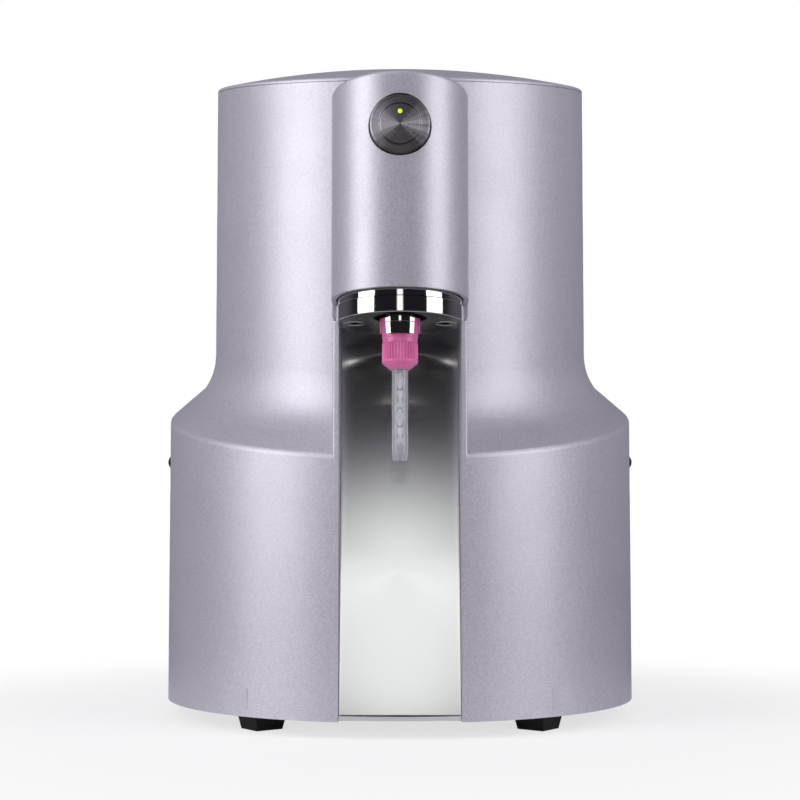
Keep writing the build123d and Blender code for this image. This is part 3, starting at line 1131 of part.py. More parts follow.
feed_top_z = TANK_OUTLET_Z - NUT_L
supply_start_y = pump_y[0] - NUT_L
fittings = []
feed_hoses = []
supply_hoses = []
for name, side in SIDES.items():
    x = side * TANK_X
    port_x = side * MANIFOLD_PORT_X
    fittings.append(fitting((x, TANK_Y, TANK_OUTLET_Z), (0, 0, -1)))
    fittings.append(fitting((x, pump_y[1], PUMP_PORT_Z), (0, 1, 0)))
    fittings.append(fitting((x, pump_y[0], PUMP_PORT_Z), (0, -1, 0)))
    fittings.append(fitting((port_x, MANIFOLD_REAR_Y, MANIFOLD_PORT_Z), (0, 1, 0)))
    feed_hoses.append(hose("feed hose " + name, [
        (x, TANK_Y, feed_top_z),
        (x, TANK_Y, PUMP_PORT_Z + 52),
        (x, TANK_Y - 8, PUMP_PORT_Z + 18),
        (x, TANK_Y - 28, PUMP_PORT_Z),
        (x, pump_y[1] + NUT_L, PUMP_PORT_Z),
    ]))
    supply_hoses.append(hose("supply hose " + name, [
        (x, supply_start_y, PUMP_PORT_Z),
        (x, supply_start_y - 16, PUMP_PORT_Z),
        (x - side * 6, supply_start_y - 32, PUMP_PORT_Z + 14),
        (x - side * 18, supply_start_y - 36, PUMP_PORT_Z + 46),
        (port_x + side * 8, supply_start_y - 28, MANIFOLD_PORT_Z - 34),
        (port_x, supply_start_y - 38, MANIFOLD_PORT_Z),
        (port_x, MANIFOLD_REAR_Y + NUT_L, MANIFOLD_PORT_Z),
    ]))
keep("feed_hoses", *feed_hoses)
keep("supply_hoses", *supply_hoses)
keep("hose_fittings", *fittings)

# Power supply and control board on the base plate

width, depth, height = SUPPLY_SIZE
supply = block((SUPPLY_X - width / 2, SUPPLY_X + width / 2), (SUPPLY_Y - depth / 2, SUPPLY_Y + depth / 2),
               (BASE_TOP_Z, BASE_TOP_Z + height))
supply -= block((SUPPLY_X - width / 2 + SUPPLY_LIP, SUPPLY_X + width / 2 - SUPPLY_LIP),
                (SUPPLY_Y - depth / 2, SUPPLY_Y - depth / 2 + 3 * SUPPLY_LIP),
                (BASE_TOP_Z + height / 2, BASE_TOP_Z + height - SUPPLY_LIP))
keep("power_supply", supply)

width, depth, thickness = BOARD_SIZE
board_z = BASE_TOP_Z + STANDOFF_L
board = block((BOARD_X - width / 2, BOARD_X + width / 2), (BOARD_Y - depth / 2, BOARD_Y + depth / 2),
              (board_z, board_z + thickness))
board_top_z = board_z + thickness
for chip_x, chip_y, chip_w, chip_d, chip_h in BOARD_PARTS:
    board += block((BOARD_X + chip_x - chip_w / 2, BOARD_X + chip_x + chip_w / 2),
                   (BOARD_Y + chip_y - chip_d / 2, BOARD_Y + chip_y + chip_d / 2),
                   (board_top_z, board_top_z + chip_h))
for index in range(BOARD_CANS):
    can_x = BOARD_X + CAN_FIRST_X + index * CAN_PITCH
    board += rod(CAN_R, (can_x, BOARD_Y + CAN_R, board_top_z), (can_x, BOARD_Y + CAN_R, board_top_z + CAN_H))
keep("control_board", board)
standoff_x = width / 2 - STANDOFF_INSET
standoff_y = depth / 2 - STANDOFF_INSET
standoff_places = [(BOARD_X + side_x * standoff_x, BOARD_Y + side_y * standoff_y)
                   for side_x in (-1, 1) for side_y in (-1, 1)]
keep("board_standoffs", *[rod(STANDOFF_R, (x, y, BASE_TOP_Z), (x, y, board_z)) for x, y in standoff_places])

# Every piece goes into the part's frame: the feet on z = 0 and the depth centred on y = 0

for name, shape in made.items():
    export_step(Pos(0, AXIS_Y, FOOT_H) * shape, "parts/" + name + ".step")
print("axis of the round body at y =", round(AXIS_Y, 3))
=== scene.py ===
"""Looks of the silicone dispensing machine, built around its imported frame.

Sizes are in metres and in the frame's axes: +Z is up and -Y is the front.
"""

import logging
import math
from dataclasses import dataclass, field
from enum import Enum
from typing import Any, Optional, Sequence

import bmesh
import bpy
import numpy as np
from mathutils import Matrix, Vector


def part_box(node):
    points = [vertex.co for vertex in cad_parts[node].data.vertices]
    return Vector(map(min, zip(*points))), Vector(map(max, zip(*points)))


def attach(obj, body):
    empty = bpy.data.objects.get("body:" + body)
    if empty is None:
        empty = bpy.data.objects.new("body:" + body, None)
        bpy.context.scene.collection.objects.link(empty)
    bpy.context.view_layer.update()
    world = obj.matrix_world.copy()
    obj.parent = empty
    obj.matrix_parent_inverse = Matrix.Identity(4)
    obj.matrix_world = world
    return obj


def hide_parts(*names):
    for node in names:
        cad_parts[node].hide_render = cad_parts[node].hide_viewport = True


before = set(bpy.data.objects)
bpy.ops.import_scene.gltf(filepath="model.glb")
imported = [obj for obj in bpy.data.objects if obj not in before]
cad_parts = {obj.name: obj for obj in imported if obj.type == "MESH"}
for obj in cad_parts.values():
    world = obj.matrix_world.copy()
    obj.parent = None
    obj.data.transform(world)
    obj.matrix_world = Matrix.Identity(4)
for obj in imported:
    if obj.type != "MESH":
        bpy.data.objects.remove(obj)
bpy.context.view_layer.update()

Array = np.ndarray
Colour = tuple[float, float, float]
Socket = bpy.types.NodeSocket
TAU = 2.0 * math.pi
MM = 0.001
WHITE = (1.0, 1.0, 1.0)
NOISE_LOW, NOISE_HIGH, NOISE_ROUGH = 0.3, 0.7, 0.55
POLAR_MAP = "polar"
MERGED = 0.002 * MM
STRAIGHT = math.radians(179.0)
LOG = logging.getLogger("dispenser")


def linear(colour: Colour, level: float = 1.0) -> tuple[float, float, float, float]:
    """Turns a colour as it is seen into the linear values that a shader takes.

    Args:
        colour: red, green and blue as seen, from 0 to 1.
        level: factor on all three after the change.

    Returns:
        Linear red, green, blue and an alpha of 1.
    """
    seen = np.array(colour)
    value = np.where(seen <= 0.04045, seen / 12.92, ((seen + 0.055) / 1.055) ** 2.4) * level
    return (float(value[0]), float(value[1]), float(value[2]), 1.0)


class Graph:
    """A shader tree that is filled node by node."""

    def __init__(self, tree: bpy.types.NodeTree) -> None:
        """Takes an empty or default tree and clears it.

        Args:
            tree: the node tree of a material or of the world.
        """
        self.tree = tree
        tree.nodes.clear()

    def add(self, kind: str, inputs: Optional[dict[str | int, Any]] = None,
            **settings: Any) -> bpy.types.Node:
        """Adds a node, sets it up and feeds its inputs.

        Args:
            kind: the node's type, without the leading ShaderNode.
            inputs: value or output socket for each named or numbered input.
            settings: attributes of the node.

        Returns:
            The new node.
        """
        node = self.tree.nodes.new("ShaderNode" + kind)
        for name, value in settings.items():
            setattr(node, name, value)
        for key, value in (inputs or {}).items():
            self.feed(node.inputs[key], value)
        return node

    def feed(self, target: Socket, value: Any) -> None:
        """Links an output socket to an input, or sets the input to a plain value.

        Args:
            target: the input socket.
            value: an output socket, a number or a tuple of numbers.
        """
        if isinstance(value, bpy.types.NodeSocket):
            self.tree.links.new(value, target)
        else:
            target.default_value = value

    def maths(self, operation: str, first: Any, second: Any = 0.0) -> Socket:
        """Returns the result of one arithmetic step on two values or sockets."""
        return self.add("Math", {0: first, 1: second}, operation=operation).outputs[0]

    def mixed(self, first: Any, second: Any, share: float) -> Socket:
        """Returns two patterns added up, with a share of the first and the rest from the second."""
        return self.maths("ADD", self.maths("MULTIPLY", first, share),
                          self.maths("MULTIPLY", second, 1.0 - share))

    def span(self, value: Any, low: float, high: float, to_low: float, to_high: float,
             smooth: bool = False) -> Socket:
        """Maps a value from one range to another and holds it at the ends.

        Args:
            value: the socket that is mapped.
            low: value that gives to_low.
            high: value that gives to_high.
            to_low: result at the low end.
            to_high: result at the high end.
            smooth: eases in and out instead of going straight.

        Returns:
            The mapped value.
        """
        kind = "SMOOTHSTEP" if smooth else "LINEAR"
        inputs = {"Value": value, "From Min": low, "From Max": high, "To Min": to_low, "To Max": to_high}
        return self.add("MapRange", inputs, interpolation_type=kind).outputs[0]

    def blend(self, share: Any, first: Any, second: Any) -> Socket:
        """Returns a colour between two colours, by a share from 0 to 1."""
        node = self.add("Mix", {0: share}, data_type="RGBA")
        self.feed(node.inputs[6], first)
        self.feed(node.inputs[7], second)
        return node.outputs[2]

    def place(self) -> Socket:
        """Returns the point on the surface in the frame's axes, in metres."""
        return self.add("TexCoord").outputs["Object"]

    def noise(self, size: float, detail: float = 2.0, at: Optional[Socket] = None) -> Socket:
        """Returns soft noise from 0 to 1.

        Args:
            size: width of its patches, in metres.
            detail: how many finer layers it has.
            at: the point where it is read; the surface's own point if it is left out.

        Returns:
            The noise value.
        """
        inputs = {"Vector": at or self.place(), "Scale": 1.0 / size, "Detail": detail,
                  "Roughness": NOISE_ROUGH}
        return self.add("TexNoise", inputs).outputs[0]

    def stretched(self, scale: tuple[float, float, float], at: Optional[Socket] = None) -> Socket:
        """Returns the surface point scaled unevenly, so that noise on it runs out into lines."""
        inputs = {"Vector": at or self.place(), "Scale": scale}
        return self.add("Mapping", inputs).outputs[0]

    def bump(self, height: Any, depth: float, after: Optional[Socket] = None) -> Socket:
        """Turns a height from 0 to 1 into a shading normal.

        Args:
            height: the height socket.
            depth: the height that 1 stands for, in metres.
            after: a normal that this one is laid over.

        Returns:
            The normal.
        """
        inputs = {"Height": height, "Distance": depth, "Strength": 1.0}
        node = self.add("Bump", inputs)
        if after is not None:
            self.feed(node.inputs["Normal"], after)
        return node.outputs[0]


@dataclass(frozen=True)
class Finish:
    """Finish of a surface: its colour and gloss with the unevenness that a real one has.

    Grain and cloud are the widths of its fine and its broad patches. Tone, gloss and relief say how far its
    colour, its roughness and its height swing, and sockets are further inputs of the shader.
    """

    slot: str
    colour: Colour
    roughness: float
    metallic: float = 0.0
    grain: float = 0.9 * MM
    cloud: float = 28.0 * MM
    tone: float = 0.06
    gloss: float = 0.06
    relief: float = 0.004 * MM
    grain_share: float = 0.6
    sockets: tuple[tuple[str, Any], ...] = ()

    def material(self) -> bpy.types.Material:
        """Builds the material that this finish describes.

        Returns:
            The new material, named after the slot.
        """
        made = bpy.data.materials.new(self.slot + "_look")
        made.use_nodes = True
        graph = Graph(made.node_tree)
        shader = graph.add("BsdfPrincipled", {"Metallic": self.metallic})
        for name, value in self.sockets:
            shader.inputs[name].default_value = value
        self.texture(graph, shader)
        graph.add("OutputMaterial", {"Surface": shader.outputs[0]})
        return made

    def texture(self, graph: Graph, shader: bpy.types.Node) -> None:
        """Lays grain and broad clouds over colour, gloss and relief.

        Args:
            graph: the material's tree.
            shader: its surface shader.
        """
        grain = graph.noise(self.grain, 3.0)
        cloud = graph.noise(self.cloud, 2.0)
        self.shade(graph, shader, graph.mixed(grain, cloud, self.grain_share))
        graph.feed(shader.inputs["Roughness"], self.gloss_of(graph, cloud))
        if self.relief > 0.0:
            graph.feed(shader.inputs["Normal"], graph.bump(grain, self.relief))

    def shade(self, graph: Graph, shader: bpy.types.Node, pattern: Socket) -> None:
        """Swings the base colour darker and paler by its tone, along a pattern from 0 to 1."""
        dark, light = linear(self.colour, 1.0 - self.tone), linear(self.colour, 1.0 + self.tone)
        share = graph.span(pattern, NOISE_LOW, NOISE_HIGH, 0.0, 1.0)
        graph.feed(shader.inputs["Base Color"], graph.blend(share, dark, light))

    def gloss_of(self, graph: Graph, pattern: Socket) -> Socket:
        """Returns the roughness, swung by its gloss along a pattern from 0 to 1."""
        return graph.span(pattern, NOISE_LOW, NOISE_HIGH, self.roughness - self.gloss,
                          self.roughness + self.gloss)


@dataclass(frozen=True)
class FlakePaint(Finish):
    """Satin paint with fine metal flake under its top coat."""

    flake: float = 0.6 * MM
    sparkle: float = 0.07
    peel: float = 5.0 * MM
    peel_relief: float = 0.01 * MM

    def texture(self, graph: Graph, shader: bpy.types.Node) -> None:
        """Gives each flake its own tone, and the coat a faint orange peel.

        Args:
            graph: the material's tree.
            shader: its surface shader.
        """
        flakes = graph.add("TexVoronoi", {"Vector": graph.place(), "Scale": 1.0 / self.flake}, feature="F1")
        each = graph.add("SeparateColor", {0: flakes.outputs["Color"]}).outputs[0]
        grain = graph.noise(self.grain, 3.0)
        cloud = graph.noise(self.cloud, 2.0)
        self.shade(graph, shader, graph.mixed(each, grain, 0.5))
        rough = graph.maths("ADD", self.gloss_of(graph, cloud),
                            graph.maths("MULTIPLY", graph.maths("SUBTRACT", each, 0.5), self.sparkle))
        graph.feed(shader.inputs["Roughness"], rough)
        peel = graph.bump(graph.noise(self.peel, 1.0), self.peel_relief)
        graph.feed(shader.inputs["Normal"], graph.bump(grain, self.relief, peel))


class Brush(Enum):
    """Way in which the lines of a brushed surface run."""

    ALONG_X = (0.02, 1.0, 1.0)
    ALONG_Z = (1.0, 1.0, 0.02)
    ROUND = (1.0, 1.0, 1.0)


@dataclass(frozen=True)
class BrushedMetal(Finish):
    """Metal with fine lines from brushing, grinding or turning.

    A turned face also has a painted highlight, a pale wedge to each side: the cosine of the angle round the
    face, without its sign, to the painted highlight's power, with streaks in it.
    """

    brush: Brush = Brush.ALONG_X
    line: float = 0.25 * MM
    line_share: float = 0.7
    ring_share: float = 0.45
    ring_drift: float = 0.6
    painted_highlight_share: float = 0.62
    painted_highlight_power: float = 4.0
    streak_turn: float = 5.0
    streak_out: float = 30.0
    streak_low: float = 0.5
    streak_high: float = 1.3

    def texture(self, graph: Graph, shader: bpy.types.Node) -> None:
        """Draws noise out into lines that follow the brush, or into rings about the piece's own middle with a
        painted highlight to each side.

        Args:
            graph: the material's tree.
            shader: its surface shader.
        """
        cloud = graph.noise(self.cloud, 2.0)
        if self.brush is Brush.ROUND:
            lines = self.rings(graph, shader)
        else:
            lines = graph.noise(self.line, 3.0, graph.stretched(self.brush.value))
        self.shade(graph, shader, graph.mixed(lines, cloud, self.line_share))
        graph.feed(shader.inputs["Roughness"], self.gloss_of(graph, lines))
        graph.feed(shader.inputs["Normal"], graph.bump(lines, self.relief))

    def rings(self, graph: Graph, shader: bpy.types.Node) -> Socket:
        """Reads the piece's polar map, whose first way runs round and whose second runs outwards.

        Args:
            graph: the material's tree.
            shader: its surface shader, which gets the tangent of the rings.

        Returns:
            Noise in rings with a painted highlight wedge to each side, from 0 to 1.
        """
        tangent = graph.add("Tangent", direction_type="UV_MAP", uv_map=POLAR_MAP)
        graph.feed(shader.inputs["Tangent"], tangent.outputs[0])
        polar = graph.add("SeparateXYZ", {0: graph.add("UVMap", uv_map=POLAR_MAP).outputs[0]})
        turn = graph.maths("MULTIPLY", polar.outputs[0], TAU)
        across, up = graph.maths("COSINE", turn), graph.maths("SINE", turn)
        round_spot = graph.add("CombineXYZ", {0: across, 1: up, 2: polar.outputs[1]}).outputs[0]
        ring_scale = (self.ring_drift, self.ring_drift, 1.0 / self.line)
        rings = graph.noise(1.0, 3.0, graph.stretched(ring_scale, round_spot))
        streak_scale = (self.streak_turn, self.streak_turn, self.streak_out)
        streaks = graph.noise(1.0, 3.0, graph.stretched(streak_scale, round_spot))
        # Painted highlight: a pale wedge to each side of the turned face, which goes into its base colour,
        # roughness and bump.
        painted_fan = graph.maths("POWER", graph.maths("ABSOLUTE", across), self.painted_highlight_power)
        streaks = graph.span(streaks, NOISE_LOW, NOISE_HIGH, self.streak_low, self.streak_high)
        lit = graph.maths("MULTIPLY", painted_fan, streaks)
        return graph.maths("ADD", graph.maths("MULTIPLY", rings, self.ring_share),
                           graph.maths("MULTIPLY", lit, self.painted_highlight_share))


@dataclass(frozen=True)
class Lamp(Finish):
    """Finish of a lit lens."""

    glow: float = 1.0

    def texture(self, graph: Graph, shader: bpy.types.Node) -> None:
        """Adds a glow of the lens's own colour to the plain texture.

        Args:
            graph: the material's tree.
            shader: its surface shader.
        """
        super().texture(graph, shader)
        shader.inputs["Emission Color"].default_value = linear(self.colour)
        shader.inputs["Emission Strength"].default_value = self.glow


@dataclass(frozen=True)
class Board(Finish):
    """Printed board with copper lines and dark parts on top of it."""

    top_z: float = 0.0
    cell: float = 6.0 * MM
    line_start: float = 0.30
    line_end: float = 0.34
    line_level: float = 1.9
    step_h: float = 0.3 * MM
    part_dark: Colour = (0.10, 0.10, 0.11)
    part_light: Colour = (0.2, 0.2, 0.21)

    def texture(self, graph: Graph, shader: bpy.types.Node) -> None:
        """Draws lines on the board and turns all that stands above it dark.

        Args:
            graph: the material's tree.
            shader: its surface shader.
        """
        spot = graph.place()
        height = graph.add("SeparateXYZ", {0: spot}).outputs[2]
        above = graph.span(height, self.top_z, self.top_z + self.step_h, 0.0, 1.0)
        cells = graph.add("TexVoronoi", {"Vector": spot, "Scale": 1.0 / self.cell}, feature="F1",
                          distance="CHEBYCHEV")
        line = graph.span(cells.outputs["Distance"], self.line_start, self.line_end, 0.0, 1.0)
        board = graph.blend(line, linear(self.colour), linear(self.colour, self.line_level))
        part = graph.blend(graph.noise(self.cloud), linear(self.part_dark), linear(self.part_light))
        graph.feed(shader.inputs["Base Color"], graph.blend(above, board, part))
        graph.feed(shader.inputs["Roughness"], self.gloss_of(graph, graph.noise(self.cloud)))


FINISHES: tuple[Finish, ...] = (
    FlakePaint("housing_paint", (0.815, 0.798, 0.84), 0.47, 0.55, tone=0.09, gloss=0.02, relief=0.004 * MM,
               grain=0.7 * MM, sockets=(("Coat Weight", 0.10), ("Coat Roughness", 0.3))),
    BrushedMetal("splash_steel", (0.925, 0.935, 0.925), 0.165, 1.0, tone=0.04, gloss=0.008, relief=0.0,
                 brush=Brush.ALONG_Z, cloud=60 * MM, line=0.25 * MM, sockets=(("Anisotropic", 0.84),)),
    Finish("polished_nickel", (0.83, 0.82, 0.81), 0.06, 1.0, tone=0.02, gloss=0.015, relief=0.0),
    # Its strong tone swings the base colour along the painted highlight of its rings.
    BrushedMetal("bezel_steel", (0.72, 0.70, 0.72), 0.42, 0.72, tone=0.8, gloss=0.03, relief=0.0,
                 brush=Brush.ROUND, line=0.30 * MM, sockets=(("Anisotropic", 0.82),)),
    Lamp("led_lens", (0.72, 0.95, 0.12), 0.25, glow=0.85, relief=0.0),
    Finish("black_plastic", (0.16, 0.16, 0.165), 0.5, tone=0.12, relief=0.02 * MM, grain=0.5 * MM),
    Finish("black_screw", (0.14, 0.14, 0.15), 0.34, 0.5, tone=0.1, gloss=0.08),
    Finish("black_rubber", (0.13, 0.13, 0.135), 0.72, tone=0.15, gloss=0.08, relief=0.03 * MM,
           grain=0.7 * MM),
    Finish("seal_rubber", (0.62, 0.25, 0.18), 0.5, tone=0.08),
    Finish("pink_plastic", (0.88, 0.44, 0.67), 0.30, tone=0.05, gloss=0.04, relief=0.004 * MM,
           sockets=(("Subsurface Weight", 0.25), ("Subsurface Radius", (1.0, 0.45, 0.6)),
                    ("Subsurface Scale", 0.6 * MM), ("Coat Weight", 0.2), ("Coat Roughness", 0.12))),
    Finish("clear_plastic", (0.96, 0.965, 0.98), 0.16, tone=0.02, gloss=0.03, relief=0.002 * MM,
           sockets=(("Transmission Weight", 0.84), ("IOR", 1.38))),
    Finish("white_plastic", (0.93, 0.93, 0.94), 0.38, tone=0.02, relief=0.006 * MM,
           sockets=(("Subsurface Weight", 0.4), ("Subsurface Radius", (1.0, 1.0, 1.0)),
                    ("Subsurface Scale", 1.0 * MM))),
    Finish("tank_plastic", (0.90, 0.90, 0.87), 0.45, tone=0.03, relief=0.02 * MM, grain=1.6 * MM,
           sockets=(("Transmission Weight", 0.35), ("IOR", 1.5))),
    Finish("hose_plastic", (0.86, 0.87, 0.86), 0.3, tone=0.02, relief=0.004 * MM,
           sockets=(("Transmission Weight", 0.55), ("IOR", 1.4))),
    BrushedMetal("pump_aluminium", (0.80, 0.80, 0.81), 0.34, 1.0, tone=0.07, relief=0.003 * MM),
    Finish("panel_paint", (0.70, 0.69, 0.72), 0.55, tone=0.07, gloss=0.05, relief=0.05 * MM, grain=0.8 * MM),
    BrushedMetal("gear_steel", (0.66, 0.66, 0.67), 0.28, 1.0, tone=0.08, relief=0.002 * MM, line=0.15 * MM),
    Finish("zinc_steel", (0.77, 0.77, 0.78), 0.33, 1.0, tone=0.08, gloss=0.08, cloud=9 * MM),
    BrushedMetal("brass", (0.85, 0.70, 0.38), 0.27, 1.0, tone=0.08, relief=0.002 * MM),
    Board("board_green", (0.09, 0.33, 0.19), 0.42, top_z=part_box("control_board")[0].z + 1.7 * MM),
)


@dataclass
class Patch:
    """Grid of points, rows by columns, whose rows close into rings."""

    points: Array
    polar: Optional[Array] = None

    def faces(self, first: int) -> Array:
        """Works out the quads between neighbouring points of the grid.

        Args:
            first: index of the grid's first point in the mesh.

        Returns:
            One row of four point indices for each quad.
        """
        rows, cols = self.points.shape[:2]
        i, j = np.arange(rows - 1)[:, None], np.arange(cols)[None, :]
        below, above = i * cols, (i + 1) * cols
        right = (j + 1) % cols
        quads = np.stack([below + j, below + right, above + right, above + j], axis=-1)
        return quads.reshape(-1, 4) + first


class Workshop:
    """Makes the pieces: meshes from grids, with their finish, body and slot."""

    def __init__(self) -> None:
        """Builds every finish once."""
        self.looks = {finish.slot: finish.material() for finish in FINISHES}

    def dress_nodes(self) -> None:
        """Gives every carried-over node the look of its slot."""
        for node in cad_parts.values():
            for slot in node.material_slots:
                slot.material = self.looks[slot.material.name]

    def piece(self, name: str, patches: Sequence[Patch], slot: str, body: str = "root",
              replaced: Sequence[str] = (), sharp: float = 32.0) -> bpy.types.Object:
        """Joins grids into one closed mesh and puts it on its body.

        Doubled points at seams, poles and shared edges are merged, and then all faces are turned outwards. A
        face that crosses the seam of the polar map goes on past a full turn there.

        Args:
            name: the piece's name.
            patches: its grids.
            slot: the record's material slot that it takes its finish from.
            body: the body that it moves with.
            replaced: the nodes that it stands for.
            sharp: edges that turn by more degrees than this stay crisp.

        Returns:
            The new object.
        """
        mesh = bpy.data.meshes.new(name)
        points = np.concatenate([patch.points.reshape(-1, 3) for patch in patches])
        starts = np.cumsum([0] + [patch.points.shape[0] * patch.points.shape[1] for patch in patches])
        faces = np.concatenate([patch.faces(int(start)) for patch, start in zip(patches, starts)])
        mesh.from_pydata(points, [], faces)
        if all(patch.polar is not None for patch in patches):
            polar = np.concatenate([patch.polar.reshape(-1, 2) for patch in patches])[faces]
            turn = polar[:, :, 0]
            over_seam = np.ptp(turn, axis=1, keepdims=True) > 0.5
            polar[:, :, 0] = np.where(over_seam & (turn < 0.5), turn + 1.0, turn)
            layer = mesh.uv_layers.new(name=POLAR_MAP)
            layer.data.foreach_set("uv", polar.astype(np.float32).ravel())
        shape = bmesh.new()
        shape.from_mesh(mesh)
        bmesh.ops.remove_doubles(shape, verts=shape.verts, dist=MERGED)
        bmesh.ops.recalc_face_normals(shape, faces=shape.faces)
        shape.to_mesh(mesh)
        shape.free()
        mesh.shade_smooth()
        mesh.set_sharp_from_angle(angle=math.radians(sharp))
        mesh.materials.append(self.looks[slot])
        made = bpy.data.objects.new(name, mesh)
        bpy.context.scene.collection.objects.link(made)
        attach(made, body)
        if replaced:
            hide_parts(*replaced)
        LOG.info("%s: %d faces on %s", name, len(mesh.polygons), body)
        return made


def rounded(corners: Sequence[tuple[float, float, float]], steps: int = 6) -> Array:
    """Draws an outline through corners, each turned by an arc that is tangent to both of its sides.

    A corner's tangent length is its radius times the tangent of half the turn, and the arc is a sweep of even
    angle steps about the centre on the bisector. A radius of 0 keeps the corner sharp.

    Args:
        corners: across, up and radius of each corner, in order.
        steps: number of steps in each arc.

    Returns:
        The outline's points, two columns.
    """
    spots = np.array([corner[:2] for corner in corners])
    drawn = [spots[:1]]
    for before, spot, after, radius in zip(spots, spots[1:], spots[2:], [c[2] for c in corners[1:]]):
        way_in = (before - spot) / np.linalg.norm(before - spot)
        way_out = (after - spot) / np.linalg.norm(after - spot)
        half = math.acos(float(np.clip(way_in @ way_out, -1.0, 1.0))) / 2.0
        if radius == 0.0 or 2.0 * half > STRAIGHT:
            drawn.append(spot[None, :])
            continue
        bisector = (way_in + way_out) / np.linalg.norm(way_in + way_out)
        centre = spot + bisector * radius / math.sin(half)
        start = spot + way_in * radius / math.tan(half) - centre
        end = spot + way_out * radius / math.tan(half) - centre
        turn = math.pi - 2.0 * half
        share = np.linspace(0.0, 1.0, steps + 1)[:, None]
        swept = np.sin((1 - share) * turn) * start + np.sin(share * turn) * end
        drawn.append(centre + swept / math.sin(turn))
    drawn.append(spots[-1:])
    return np.concatenate(drawn)


class Axis(Enum):
    """Axis about which a profile is turned."""

    UP = 2
    FRONT = 1


def turned(profile: Array, centre: Sequence[float], axis: Axis = Axis.UP, steps: int = 96,
           radius_of: Optional[Array] = None) -> Patch:
    """Turns a profile about an axis: across is the radius and up is the place along the axis.

    A point at angle a lies at the radius times cos a and sin a from the axis, at its place along it.

    Args:
        profile: radius and place of each row.
        centre: a point on the axis, which the places along it are measured from.
        axis: the axis.
        steps: number of columns.
        radius_of: rows by columns of lengths that are added to the radius.

    Returns:
        The closed grid, with the angle and the radius as its polar map.
    """
    angle = np.linspace(0.0, TAU, steps, endpoint=False)[None, :]
    radius = np.repeat(profile[:, :1], steps, axis=1)
    if radius_of is not None:
        radius = radius + radius_of
    along = np.repeat(profile[:, 1:2], steps, axis=1)
    parts = [radius * np.cos(angle), radius * np.sin(angle)]
    parts.insert(axis.value, along)
    points = np.stack(parts, axis=-1) + np.array(centre)
    polar = np.stack([np.repeat(angle / TAU, len(profile), axis=0), radius], axis=-1)
    return Patch(points, polar=polar)


def softened_block(low: Sequence[float], high: Sequence[float], radius: float, steps: int = 4) -> Patch:
    """Makes a block with round edges: a ball's grid is pulled apart into the block's eight corners.

    A point of the unit ball is set at the radius from the corner centre on its own side, and a last row at
    each pole closes the flat ends.

    Args:
        low: lowest corner.
        high: highest corner.
        radius: radius of the edges.
        steps: steps in each quarter turn.

    Returns:
        The closed grid.
    """
    middle, half = (np.array(high) + np.array(low)) / 2, (np.array(high) - np.array(low)) / 2 - radius
    quarter = np.linspace(0.0, math.pi / 2, steps + 1)
    around = np.concatenate([quarter + turn * math.pi / 2 for turn in range(4)])
    side = np.repeat(np.arange(4) * math.pi / 2 + math.pi / 4, steps + 1)
    rise = np.concatenate([quarter - math.pi / 2, quarter])
    end = np.repeat([-1.0, 1.0], steps + 1)
    flat = np.stack([np.cos(around), np.sin(around)], axis=-1)[None, :, :] * np.cos(rise)[:, None, None]
    corner = np.sign(np.stack([np.cos(side), np.sin(side)], axis=-1)) * half[:2]
    upright = np.repeat((np.sin(rise) * radius + end * half[2])[:, None], len(around), axis=1)
    points = np.concatenate([flat * radius + corner[None, :, :], upright[:, :, None]], axis=-1)
    poles = np.zeros((2, len(around), 3))
    poles[:, :, 2] = np.array([[-1.0], [1.0]]) * (half[2] + radius)
    return Patch(np.concatenate([poles[:1], points, poles[1:]]) + middle)


